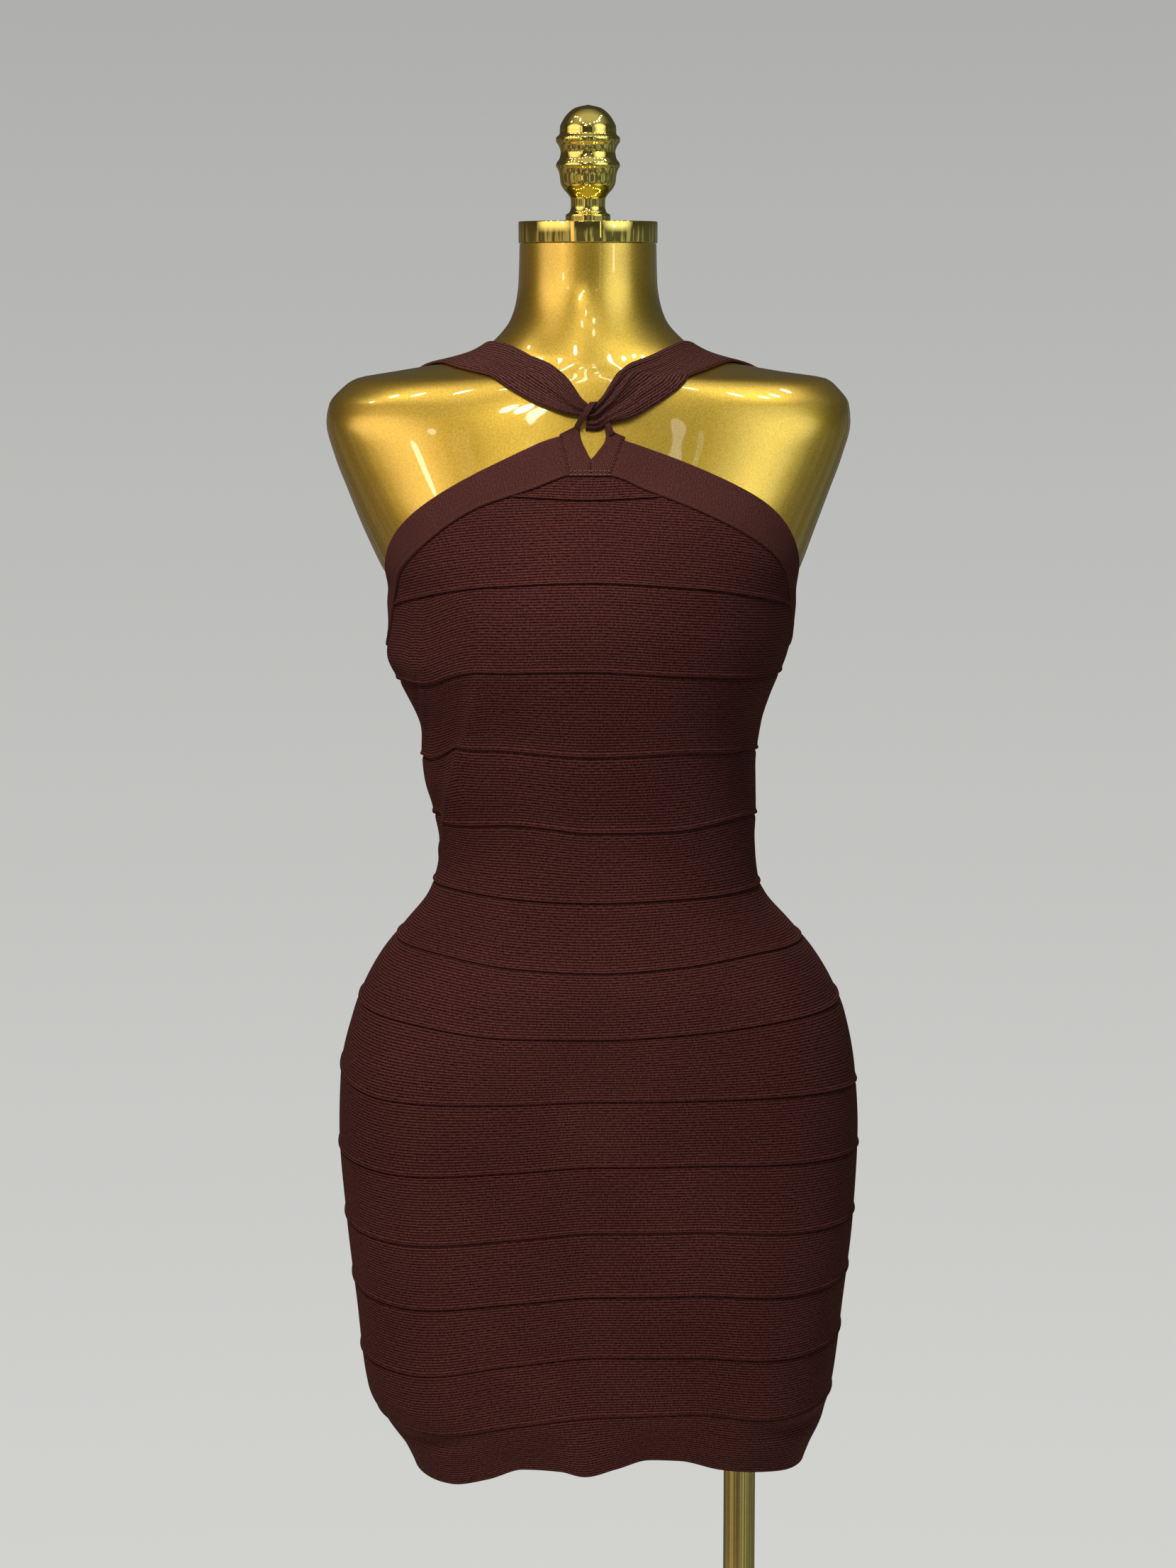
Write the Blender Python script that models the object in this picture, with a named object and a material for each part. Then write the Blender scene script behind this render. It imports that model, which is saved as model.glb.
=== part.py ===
"""Bodycon dress of knitted strips, worn on a limbless gold dress form with a pole stand.

The front faces -Y, +X is on the right as seen from the front, and +Z is up. The origin is
the middle of the base plate's underside. Tables and sizes named below are in millimetres;
every mesh is made in metres. Left and right are the viewer's, seen from the front.
"""
import math

import bmesh
import bpy
import numpy as np
from mathutils import Vector
from mathutils.bvhtree import BVHTree

MM = 0.001

# ---- cloth -----------------------------------------------------------------------------
WALL = 1.2            # one layer of the bandage knit
BAND_WALL = 1.8       # the neckline band is knitted double
STRAP_WALL = 1.6
LOOP_WIDTH = 4.0      # the narrow ribbed loop that holds the straps together
LOOP_WALL = 1.2
SEAM = 0.3            # gap that sewn edges keep
SIDE_SEAM_TURN = 0.07  # degrees that a strip stops short of the side seam
STRIP_ROWS = 2
COLUMN_TURN = 10      # degrees between two columns of the cloth and of the form

# ---- dress form and stand --------------------------------------------------------------
FORM_TOP = 1489.0
FORM_BOTTOM = 705.0
FORM_ROW = 15.0
SHOULDER_ROW = 4.0
NECK_PLATE_RADIUS = 46.3
NECK_PLATE_TOP = 1503.5
BASE_RADIUS = 200.0
BASE_THICKNESS = 8.0
POLE_RADIUS = 11.0
POLE_X = 106.0
COLLAR_RADIUS = 21.0
COLLAR_HEIGHT = 22.0
SOCKET_RADIUS = 19.0
SOCKET_HEIGHT = 12.0
RIM_BEVEL = 1.5

# The figure's level sections: height, then how far the skin lies to the left, right, front
# and back of the middle, and how square the oval is (2 is an ellipse). Below the form's
# bottom the rows are the line that the free cloth of the hem follows.
FIGURE = [
    (1489, 45.5, 45.5, 45.5, 45.5, 2.0),
    (1462, 46.5, 46.3, 48, 50, 2.0),
    (1450, 48.2, 48.2, 51, 54, 2.0),
    (1439, 51.8, 52, 55, 60, 2.0),
    (1428, 60, 61, 60, 67, 1.9),
    (1417, 75, 77, 66, 75, 1.75),
    (1410, 98, 99, 70, 80, 1.65),
    (1405, 127, 127, 72, 83, 1.65),
    (1400, 154.5, 159, 74, 85, 1.85),
    (1394, 164, 167, 76, 87, 2.05),
    (1383, 173.2, 174.6, 79, 90, 2.3),
    (1371, 175.2, 175.7, 82, 93, 2.45),
    (1349, 169.7, 170.2, 88, 96, 2.5),
    (1326, 160.9, 161.8, 95.5, 98, 2.5),
    (1303, 151.7, 153.2, 104, 98, 2.45),
    (1280, 141.2, 144.8, 112, 97, 2.4),
    (1260, 132, 137.2, 117, 95, 2.35),
    (1235, 130.5, 134.5, 119, 92, 2.3),
    (1216, 130, 129.5, 117, 88, 2.3),
    (1196, 122, 122.5, 113.3, 84, 2.25),
    (1170, 110.5, 113.5, 107, 78, 2.2),
    (1140, 103, 109.5, 99, 72, 2.2),
    (1110, 98.5, 109, 92, 69, 2.2),
    (1080, 97.5, 110.5, 88, 69, 2.2),
    (1060, 102, 113.5, 89, 73, 2.2),
    (1050, 106.5, 118.5, 91, 77, 2.2),
    (1030, 122.5, 136, 95, 86, 2.25),
    (1010, 138.5, 152.5, 100, 96, 2.3),
    (990, 150, 164.5, 104, 105, 2.4),
    (970, 158, 173, 106, 112, 2.45),
    (931, 167, 180.5, 108, 121, 2.5),
    (890, 168.5, 183, 108, 123, 2.5),
    (831, 164.5, 180.5, 107, 114, 2.5),
    (770, 157.8, 174, 105, 102, 2.5),
    (709, 150.5, 166.5, 101, 95, 2.5),
    (689, 141.5, 161.5, 97, 91, 2.4),
    (668, 125, 151, 91, 84, 2.3),
    (639, 112, 140.5, 84, 76, 2.2),
    (620, 105.5, 135.5, 80, 72, 2.2),
]

# How far the cloth's inner face stands off the figure: height, left, right, front, back.
# It is loose where it spans the hollow between bust and waist.
EASE = [
    (1370, 1.3, 1.3, 1.3, 1.3),
    (1320, 2.2, 2.6, 2.4, 1.8),
    (1290, 2.4, 3.0, 2.6, 1.8),
    (1240, 2.3, 2.3, 2.3, 1.8),
    (1216, 4.5, 3.5, 2.3, 2.0),
    (1190, 3.0, 2.2, 2.0, 2.5),
    (1170, 2.5, 2.0, 2.0, 3.5),
    (1150, 6.0, 2.5, 3.0, 4.5),
    (1128, 8.0, 3.5, 2.5, 4.5),
    (1109, 5.5, 4.0, 1.7, 3.5),
    (1089, 2.5, 2.5, 1.5, 2.8),
    (1000, 1.6, 1.6, 1.5, 2.8),
    (940, 1.3, 1.3, 1.3, 1.5),
    (600, 1.3, 1.3, 1.3, 1.3),
]

# Heights of the seams between strips: left side, left quarter, left front, centre front,
# right front, right quarter, right side, centre back. The last row is the hem.
SEAM_TURNS = (-90, -60, -30, 0, 30, 60, 90)
SEAMS = [
    (1326, 1326, 1326, 1324, 1326, 1326, 1326, 1326),
    (1240, 1257, 1269, 1272, 1268, 1257, 1243, 1240),
    (1198, 1203, 1213, 1215, 1211, 1206, 1204, 1196),
    (1146, 1154, 1161, 1158, 1159, 1155, 1150, 1146),
    (1107, 1106, 1110, 1106, 1106, 1110, 1106, 1104),
    (1061, 1062, 1060, 1059, 1060, 1060, 1059, 1060),
    (1024, 1022, 1016, 1014, 1017, 1022, 1022, 1020),
    (982, 977, 971, 971, 974, 979, 982, 976),
    (936, 924, 927, 930, 930, 928, 922, 926),
    (880, 874, 881, 886, 886, 882, 878, 878),
    (831, 826, 835, 841, 841, 834, 832, 832),
    (788, 781, 791, 797, 797, 790, 793, 788),
    (736, 734, 748, 755, 754, 746, 751, 744),
    (693, 691, 705, 713, 714, 703, 707, 702),
    (649, 653, 670, 674, 678, 663, 654, 660),
]

# Neckline band: degrees from the centre front, then the heights of its lower and upper
# edge on the left, and on the right. From the sides it runs level round the back.
NECKLINE = [
    (0, 1339.5, 1366.5, 1339.5, 1364.3),
    (8, 1339.5, 1366.5, 1339.5, 1364.3),
    (20, 1332, 1361, 1331, 1359.5),
    (30, 1325, 1352, 1323.5, 1353),
    (40, 1316.5, 1341, 1313, 1344),
    (50, 1295, 1325, 1299, 1331),
    (60, 1277, 1302, 1281, 1311.5),
    (70, 1257, 1273, 1258, 1274),
    (80, 1226, 1254, 1230, 1253),
    (90, 1219, 1247, 1218, 1246),
    (180, 1219, 1246, 1219, 1246),
]

# Keyhole tab, where the band's two ends are joined round a teardrop opening. Each half's
# outline has a bottom corner, a top corner and the loop's root, each as x and height.
TAB_OUTLINE = {
    -1: ((-12.0, 1339.7), (-18.7, 1366.5), (-8.5, 1371)),
    1: ((15.0, 1339.7), (24.3, 1364.3), (14.4, 1371)),
}
# The slit and the teardrop above it: height, then x of the left and of the right edge.
KEYHOLE = [
    (1339.7, 1.75, 2.05),
    (1346, 1.75, 2.05),
    (1352, 1.75, 2.05),
    (1355, -1.6, 5.2),
    (1359, -4.6, 8.6),
    (1364.3, -5.8, 10.9),
    (1366.5, -5.6, 11.1),
    (1371, -4.2, 9.9),
]

# Route of the loop's middle line: x, height, and how far it stands off the cloth's inner
# face. It goes up in front of the straps, over them and down behind them.
LOOP_ROUTE = [
    (-6.3, 1372.5, 1.1),
    (-4.6, 1375.2, 3.6),
    (-2.0, 1379.8, 5.6),
    (0.4, 1384.3, 5.4),
    (2.3, 1388.9, 4.8),
    (3.7, 1390.6, 2.8),
    (5.2, 1388.6, 0.8),
    (8.2, 1381.0, 0.3),
    (10.9, 1375.4, 0.4),
    (12.2, 1372.3, 0.9),
]

# Straps, front centre to back: a point of the outer (lower) edge and one of the inner
# (upper) edge, each x, y, height, then how far the strap's inner face stands off the form.
LEFT_STRAP = [
    (-0.4, -79, 1378, 1.4, -77, 1384.5, 3.6),
    (-13, -78, 1378.5, -4, -76, 1391.5, 3.4),
    (-24, -77, 1381.5, -10, -73, 1403, 2.6),
    (-38, -74, 1386.5, -22, -68, 1411, 1.8),
    (-52, -69, 1394, -37, -60, 1417, 1.4),
    (-68, -58, 1402.5, -50, -40, 1421.5, 1.2),
    (-86, -38, 1406, -60, -20, 1423, 1.0),
    (-104, -10, 1407.5, -69, 8, 1422, 0.9),
]
RIGHT_STRAP = [
    (6.4, -80, 1374.5, 2.6, -77, 1384.5, 3.6),
    (17, -80, 1374.5, 9.5, -75, 1392, 3.4),
    (27, -79, 1376, 16, -72, 1404, 2.6),
    (40, -75, 1383, 27, -68, 1411.5, 1.8),
    (53, -69, 1391.5, 41, -58, 1417, 1.4),
    (66, -60, 1401, 54, -38, 1421.5, 1.2),
    (82, -40, 1406.5, 62, -20, 1424, 1.0),
    (102, -10, 1408, 71, 8, 1421.5, 0.9),
]
# The same on the back, for the left; the right is its mirror image.
BACK_STRAP = [
    (-117, 30, 1403, -84, 42, 1413, 1.5),
    (-123, 60, 1385, -91, 70, 1392, 1.8),
    (-124, 76, 1350, -91, 88, 1352, 1.2),
    (-122, 80, 1300, -90, 92, 1300, 1.4),
    (-119, 78, 1247.5, -88, 90, 1247.5, 2.0),
]
STRAP_ROWS_PER_GUIDE = 3
STRAP_COLUMNS = 4

# Finial, turned from bar: height, radius.
FINIAL = [
    (1503.8, 14.9),
    (1507.6, 14.9),
    (1509.6, 12.4),
    (1513, 11.4),
    (1518, 11.5),
    (1521.5, 13.4),
    (1525, 16.4),
    (1529, 18.3),
    (1534, 18.9),
    (1538, 20.2),
    (1540, 21.3),
    (1541.6, 21.0),
    (1545, 18.9),
    (1549, 18.2),
    (1553, 19.4),
    (1556.4, 21.3),
    (1558, 21.3),
    (1561, 18.9),
    (1565, 18.7),
    (1570, 16.6),
    (1574.5, 13.2),
    (1578, 8.3),
    (1580, 0),
]

# ---- small shapes ------------------------------------------------------------------------
# The form's bottom edge is rounded in these steps: rise above the bottom, and inset.
FORM_ROUNDING = [(0, 14), (1.5, 7), (5.5, 2), (11, 0.3)]
SHOULDER_BOTTOM = 1383
SHOULDER_TOP = 1428
NECK_HEIGHTS = [1433, 1439, 1446, 1454, 1466, FORM_TOP]
PLATE_BEVEL = 0.8
FINIAL_TIP = 0.6           # radius of the flat at the very top of the finial
COLLAR_SLOPE = (5, 3)      # how far the collar's sloping rim runs in, and down
SOCKET_SLOPE = (4, 3)      # how far the socket's sloping rim runs in, and up
SIDE_TURN = 90
FRONT_MARKS = range(-80, 81, COLUMN_TURN)
BACK_MARKS = range(100, 261, COLUMN_TURN)
BAND_SEARCH_STEP = 0.1     # degrees between the places tried for the band meeting a seam
BAND_SEARCH_START = 0.5
BAND_MEETING_GAP = 1.0
BAND_FIRST_TURN = 15       # the band's even columns begin this far from the centre front
BAND_LAST_TURN = 89
TAB_COLUMNS = 3
LOOP_LEAN_START = -32      # the tape's width leans this way at the left leg
LOOP_LEAN_TURN = 62        # and turns this far on its way to the right leg
LOOP_STEPS_PER_POINT = 2

KNIT_COLOUR = (0.047, 0.017, 0.017, 1)
PAINT_COLOUR = (0.60, 0.37, 0.07, 1)
PLATED_COLOUR = (0.83, 0.60, 0.16, 1)


# ---- curves and sections ---------------------------------------------------------------
def curve_through(knots, values):
    """A smooth curve through the knots that never overshoots them, as a function."""
    order = np.argsort(knots)
    knots = np.asarray(knots, float)[order]
    values = np.asarray(values, float)[order]
    step = np.diff(knots)
    rise = np.diff(values) / step
    slope = np.concatenate(([rise[0]], np.zeros(len(knots) - 2), [rise[-1]]))
    for i in range(1, len(knots) - 1):
        if rise[i - 1] * rise[i] > 0:
            before = 2 * step[i] + step[i - 1]
            after = step[i] + 2 * step[i - 1]
            slope[i] = (before + after) / (before / rise[i - 1] + after / rise[i])

    def at(where):
        where = min(max(where, knots[0]), knots[-1])
        i = min(max(int(np.searchsorted(knots, where)) - 1, 0), len(step) - 1)
        t = (where - knots[i]) / step[i]
        ends = (1 + 2 * t) * (1 - t) ** 2 * values[i] + t * t * (3 - 2 * t) * values[i + 1]
        bends = t * (1 - t) ** 2 * slope[i] + t * t * (t - 1) * slope[i + 1]
        return float(ends + step[i] * bends)

    return at


def table_curves(rows):
    """One curve for each column after the first, over the first column."""
    columns = list(zip(*rows))
    return [curve_through(columns[0], column) for column in columns[1:]]


FIGURE_CURVES = table_curves(FIGURE)
EASE_CURVES = table_curves(EASE)
NECKLINE_CURVES = table_curves(NECKLINE)


def section(height, off=None):
    """Middle, half width, front depth, back depth and squareness of a level section.

    `off` is None for the figure itself, or the distance outside the cloth's inner face.
    """
    left, right, front, back, square = (curve(height) for curve in FIGURE_CURVES)
    if off is not None:
        ease = [curve(height) + off for curve in EASE_CURVES]
        left, right, front, back = (a + b for a, b in zip((left, right, front, back), ease))
    return (right - left) / 2, (right + left) / 2, front, back, square


def round_point(turn, height, off=None):
    """Point of the section `turn` degrees from the centre front, towards the right."""
    middle, half, front, back, square = section(height, off)
    across = math.sin(math.radians(turn))
    ahead = math.cos(math.radians(turn))
    depth = front if ahead >= 0 else back
    reach = (abs(across / half) ** square + abs(ahead / depth) ** square) ** (-1 / square)
    return Vector((middle + reach * across, -reach * ahead, height)) * MM


def front_point(x, height, off):
    """Point of the section's front at a given x."""
    middle, half, front, _, square = section(height, off)
    inward = min(abs(x - middle) / half, 1)
    return Vector((x, -front * (1 - inward ** square) ** (1 / square), height)) * MM


def turn_at(x, height, off):
    """Degrees from the centre front of the point at x."""
    point = front_point(x, height, off) / MM
    return math.degrees(math.atan2(point.x - section(height, off)[0], -point.y))


def seam_height(index, turn):
    """Height of a seam at a turn of -180 to 180 degrees."""
    row = SEAMS[index]
    if abs(turn) <= 90:
        return curve_through(SEAM_TURNS, row[:-1])(turn)
    side = row[0] if turn < 0 else row[-2]
    behind = math.sin(math.radians(abs(turn) - 90)) ** 2
    return side + (row[-1] - side) * behind


def tab_edge(side, height):
    """x of the tab's outer edge, on the left (-1) or the right (1)."""
    places, heights = zip(*TAB_OUTLINE[side])
    return float(np.interp(height, heights, places))


def neckline_height(turn, upper):
    """Height of the neckline band's lower or upper edge."""
    column = (0 if turn < 0 else 2) + (1 if upper else 0)
    return NECKLINE_CURVES[column](abs(turn))


# ---- materials and meshes --------------------------------------------------------------
def make_material(name, colour, metallic, roughness):
    """One Principled material."""
    material = bpy.data.materials.new(name)
    material.use_nodes = True
    shader = material.node_tree.nodes["Principled BSDF"]
    shader.inputs["Base Color"].default_value = colour
    shader.inputs["Metallic"].default_value = metallic
    shader.inputs["Roughness"].default_value = roughness
    return material


def add_object(name, mesh_data, material):
    """Turn a bmesh into a named object with outward faces."""
    bmesh.ops.recalc_face_normals(mesh_data, faces=mesh_data.faces)
    mesh = bpy.data.meshes.new(name)
    mesh_data.to_mesh(mesh)
    mesh_data.free()
    mesh.materials.append(material)
    thing = bpy.data.objects.new(name, mesh)
    bpy.context.scene.collection.objects.link(thing)
    return thing


def add_shell(name, outer, inner, material):
    """Closed wall between two grids of points with the same rows and columns."""
    mesh_data = bmesh.new()
    rows = len(outer)
    columns = len(outer[0])
    skins = [[[mesh_data.verts.new(point) for point in row] for row in grid]
             for grid in (outer, inner)]
    for skin in skins:
        for i in range(rows - 1):
            for j in range(columns - 1):
                mesh_data.faces.new((skin[i][j], skin[i][j + 1],
                                     skin[i + 1][j + 1], skin[i + 1][j]))
    rim = [(0, j) for j in range(columns)]
    rim += [(i, columns - 1) for i in range(1, rows)]
    rim += [(rows - 1, j) for j in range(columns - 2, -1, -1)]
    rim += [(i, 0) for i in range(rows - 2, 0, -1)]
    for (i, j), (k, m) in zip(rim, rim[1:] + rim[:1]):
        mesh_data.faces.new((skins[0][i][j], skins[0][k][m], skins[1][k][m], skins[1][i][j]))
    return add_object(name, mesh_data, material)


def add_rings(name, rings, material):
    """Closed body through rings of points, with a flat face at each end."""
    mesh_data = bmesh.new()
    loops = [[mesh_data.verts.new(point) for point in ring] for ring in rings]
    count = len(loops[0])
    for lower, upper in zip(loops, loops[1:]):
        for j in range(count):
            k = (j + 1) % count
            mesh_data.faces.new((lower[j], lower[k], upper[k], upper[j]))
    mesh_data.faces.new(loops[0])
    mesh_data.faces.new(loops[-1])
    return add_object(name, mesh_data, material)


def add_turned(name, profile, centre_x, material, sides=48):
    """Body turned about an upright axis from (radius, height) rows, flat where it ends."""
    rings = []
    for radius, height in profile:
        ring = [Vector((centre_x + radius * math.cos(turn), radius * math.sin(turn), height)) * MM
                for turn in (math.tau * k / sides for k in range(sides))]
        rings.append(ring)
    return add_rings(name, rings, material)


def disc_profile(radius, bottom, top, bevel=RIM_BEVEL):
    """Turned profile of a disc with both rims eased."""
    return [(radius - bevel, bottom), (radius, bottom + bevel),
            (radius, top - bevel), (radius - bevel, top)]


# ---- dress form and stand --------------------------------------------------------------
def form_heights():
    """Heights of the form's rings, close together over the shoulders."""
    heights = list(np.arange(FORM_BOTTOM + FORM_ROW, SHOULDER_BOTTOM - SHOULDER_ROW, FORM_ROW))
    heights += list(np.arange(SHOULDER_BOTTOM, SHOULDER_TOP, SHOULDER_ROW))
    return heights + NECK_HEIGHTS


def make_form(paint):
    """The limbless torso: rings of the figure, closed by a rounded flat bottom."""
    turns = range(-180, 180, COLUMN_TURN)
    rings = []
    for rise, inset in FORM_ROUNDING:
        ring = []
        for turn in turns:
            point = round_point(turn, FORM_BOTTOM + FORM_ROUNDING[-1][0])
            shrink = 1 - inset * MM / Vector((point.x, point.y)).length
            ring.append(Vector((point.x * shrink, point.y * shrink, (FORM_BOTTOM + rise) * MM)))
        rings.append(ring)
    rings += [[round_point(turn, height) for turn in turns] for height in form_heights()]
    return add_rings("form_torso", rings, paint)


def make_stand(plated, paint):
    """Neck plate, finial, pole with its socket and collar, and the base plate."""
    plate_bottom = FORM_TOP + SEAM
    add_turned("neck_plate", disc_profile(NECK_PLATE_RADIUS, plate_bottom, NECK_PLATE_TOP,
                                          PLATE_BEVEL), 0, plated, sides=64)
    finial = [(max(radius, FINIAL_TIP), height) for height, radius in FINIAL]
    add_turned("finial", finial, 0, plated, sides=32)
    base_top = BASE_THICKNESS
    add_turned("base_plate", disc_profile(BASE_RADIUS, 0, base_top), 0, plated, sides=64)
    collar_top = base_top + COLLAR_HEIGHT
    slope_in, slope_down = COLLAR_SLOPE
    collar = [(COLLAR_RADIUS, base_top + SEAM), (COLLAR_RADIUS, collar_top - slope_down),
              (COLLAR_RADIUS - slope_in, collar_top)]
    add_turned("pole_collar", collar, POLE_X, plated, sides=32)
    pole_bottom = collar_top + SEAM
    socket_bottom = FORM_BOTTOM - SEAM - SOCKET_HEIGHT
    pole = [(POLE_RADIUS, pole_bottom), (POLE_RADIUS, socket_bottom - SEAM)]
    add_turned("pole", pole, POLE_X, plated, sides=32)
    slope_in, slope_up = SOCKET_SLOPE
    socket = [(SOCKET_RADIUS - slope_in, socket_bottom),
              (SOCKET_RADIUS, socket_bottom + slope_up),
              (SOCKET_RADIUS, socket_bottom + SOCKET_HEIGHT)]
    add_turned("pole_socket", socket, POLE_X, paint, sides=32)


# ---- dress -----------------------------------------------------------------------------
def meeting_turn(index, sign):
    """Turn at which the neckline band's lower edge comes down to a seam."""
    for turn in np.arange(BAND_SEARCH_START, SIDE_TURN, BAND_SEARCH_STEP):
        gap = neckline_height(sign * turn, False) - seam_height(index, sign * turn)
        if gap < BAND_MEETING_GAP:
            return sign * round(float(turn), 1)
    return float(sign * SIDE_TURN)


BAND_MEETS = {index: (meeting_turn(index, -1), meeting_turn(index, 1)) for index in (0, 1)}


def front_columns(start, stop, above_tab_bottom=False):
    """Turns of the columns from start to stop, the same for every front piece."""
    marks = set(FRONT_MARKS)
    if above_tab_bottom:
        marks -= {-COLUMN_TURN, 0, COLUMN_TURN}
        marks.update(turn_at(*TAB_OUTLINE[side][0], 0) for side in (-1, 1))
    for pair in BAND_MEETS.values():
        marks.update(pair)
    return [start] + [mark for mark in sorted(marks) if start < mark < stop] + [stop]


def add_panel(name, turns, bottom, top, wall, material, rows=STRIP_ROWS):
    """Wall of cloth on the figure between two heights that are functions of the turn."""
    grids = []
    for off in (wall, 0):
        grid = []
        for i in range(rows + 1):
            part = i / rows
            grid.append([round_point(turn, bottom(turn) * (1 - part) + top(turn) * part, off)
                         for turn in turns])
        grids.append(grid)
    return add_shell(name, grids[0], grids[1], material)


def front_strip_top(index, turn):
    """Upper edge of a front strip: the seam above, or the neckline band where it is lower."""
    band = neckline_height(turn, False)
    seam = seam_height(index - 1, turn) if index else band
    return min(seam, band) - SEAM / 2


def make_front_strips(knit):
    """Fifteen strips from the keyhole tab to the hem."""
    side = SIDE_TURN - SIDE_SEAM_TURN
    for index in range(len(SEAMS)):
        start, stop = BAND_MEETS.get(index, (-side, side))
        add_panel(f"front_strip_{index + 1:02d}", front_columns(start, stop, index == 0),
                  lambda turn, k=index: seam_height(k, turn) + SEAM / 2,
                  lambda turn, k=index: front_strip_top(k, turn), WALL, knit)


def back_strip_top(index, turn):
    """Upper edge of a back strip: the seam above, or the band's lower edge."""
    edge = neckline_height(turn, False) if index == 2 else seam_height(index - 1, turn)
    return edge - SEAM / 2


def make_back_strips(knit):
    """Strips across the back, from side seam to side seam, below the band."""
    side = SIDE_TURN + SIDE_SEAM_TURN
    turns = [side] + list(BACK_MARKS) + [360 - side]
    for index in range(2, len(SEAMS)):
        add_panel(f"back_strip_{index + 1:02d}", turns,
                  lambda turn, k=index: seam_height(k, signed(turn)) + SEAM / 2,
                  lambda turn, k=index: back_strip_top(k, signed(turn)), WALL, knit)


def signed(turn):
    """The same turn between -180 and 180 degrees."""
    return (turn + 180) % 360 - 180


def make_bands(knit):
    """Neckline band from each side seam to the keyhole tab, and its level run at the back."""
    for name, sign in (("neck_band_left", -1), ("neck_band_right", 1)):
        turns = sorted((turn for turn in front_columns(-SIDE_TURN, SIDE_TURN)
                        if BAND_FIRST_TURN < turn * sign < BAND_LAST_TURN), key=abs)
        turns.append(sign * (SIDE_TURN - SIDE_SEAM_TURN))
        (_, tab_bottom), (_, tab_top), _ = TAB_OUTLINE[sign]
        outer, inner = [], []
        for i in range(STRIP_ROWS + 1):
            part = i / STRIP_ROWS
            height = tab_bottom * (1 - part) + tab_top * part
            edge = tab_edge(sign, height) + sign * SEAM
            for grid, off in ((outer, BAND_WALL), (inner, 0)):
                row = [front_point(edge, height, off)]
                for turn in turns:
                    low = neckline_height(turn, False) + SEAM / 2
                    high = neckline_height(turn, True)
                    row.append(round_point(turn, low * (1 - part) + high * part, off))
                grid.append(row)
        add_shell(name, outer, inner, knit)
    side = SIDE_TURN + SIDE_SEAM_TURN
    turns = [side] + list(BACK_MARKS) + [360 - side]
    add_panel("back_band", turns, lambda turn: neckline_height(signed(turn), False) + SEAM / 2,
              lambda turn: neckline_height(signed(turn), True), BAND_WALL, knit)


def make_keyhole_tab(knit):
    """Two halves of the tab, with the slit and the teardrop opening between them."""
    for name, side in (("keyhole_tab_left", -1), ("keyhole_tab_right", 1)):
        outer, inner = [], []
        for height, left_edge, right_edge in KEYHOLE:
            start = tab_edge(side, height)
            stop = left_edge if side < 0 else right_edge
            places = [start + (stop - start) * k / TAB_COLUMNS for k in range(TAB_COLUMNS + 1)]
            outer.append([front_point(x, height, BAND_WALL) for x in places])
            inner.append([front_point(x, height, 0) for x in places])
        add_shell(name, outer, inner, knit)


def make_loop(knit):
    """The ribbed loop: a flat tape bent round the straps where they meet."""
    steps = range(len(LOOP_ROUTE))
    route = [curve_through(steps, column) for column in zip(*LOOP_ROUTE)]
    count = LOOP_STEPS_PER_POINT * (len(LOOP_ROUTE) - 1)
    outer, inner = [], []
    places = [[curve(k / LOOP_STEPS_PER_POINT) for curve in route] for k in range(count + 1)]
    points = [front_point(x, height, off) for x, height, off in places]
    for k, point in enumerate(points):
        along = points[min(k + 1, count)] - points[max(k - 1, 0)]
        across = loop_across(k / count) * (LOOP_WIDTH / 2 * MM)
        normal = along.cross(across).normalized() * (LOOP_WALL / 2 * MM)
        outer.append([point - across + normal, point + across + normal])
        inner.append([point - across - normal, point + across - normal])
    add_shell("keyhole_loop", outer, inner, knit)


def loop_across(part):
    """Direction of the tape's width: it leans with the left leg, then with the right one."""
    lean = math.radians(LOOP_LEAN_START + LOOP_LEAN_TURN * part)
    return Vector((math.cos(lean), 0, math.sin(lean)))


def make_straps(knit, form):
    """Each strap lies on the form from the loop, over the shoulder, to the back band."""
    mesh_data = bmesh.new()
    mesh_data.from_mesh(form.data)
    skin = BVHTree.FromBMesh(mesh_data)
    mirrored = [(-a, b, c, -d, e, f, g) for a, b, c, d, e, f, g in BACK_STRAP]
    for name, guides in (("strap_left", LEFT_STRAP + BACK_STRAP),
                         ("strap_right", RIGHT_STRAP + mirrored)):
        curves = [curve_through(range(len(guides)), column) for column in zip(*guides)]
        count = (len(guides) - 1) * STRAP_ROWS_PER_GUIDE
        outer, inner = [], []
        for k in range(count + 1):
            values = [curve(k / STRAP_ROWS_PER_GUIDE) for curve in curves]
            edge = Vector(values[0:3]) * MM
            other = Vector(values[3:6]) * MM
            off = values[6] * MM
            row = []
            for j in range(STRAP_COLUMNS + 1):
                part = j / STRAP_COLUMNS
                place, normal, _, _ = skin.find_nearest(edge * (1 - part) + other * part)
                row.append((place, normal))
            inner.append([place + normal * off for place, normal in row])
            outer.append([place + normal * (off + STRAP_WALL * MM) for place, normal in row])
        add_shell(name, outer, inner, knit)
    mesh_data.free()


def main():
    """Clear the scene and build every piece."""
    for thing in list(bpy.data.objects):
        bpy.data.objects.remove(thing, do_unlink=True)
    knit = make_material("maroon_knit", KNIT_COLOUR, 0, 0.85)
    paint = make_material("gold_paint", PAINT_COLOUR, 0.85, 0.3)
    plated = make_material("gold_plated", PLATED_COLOUR, 1, 0.08)
    form = make_form(paint)
    make_stand(plated, paint)
    make_front_strips(knit)
    make_back_strips(knit)
    make_bands(knit)
    make_keyhole_tab(knit)
    make_loop(knit)
    make_straps(knit, form)


main()
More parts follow.
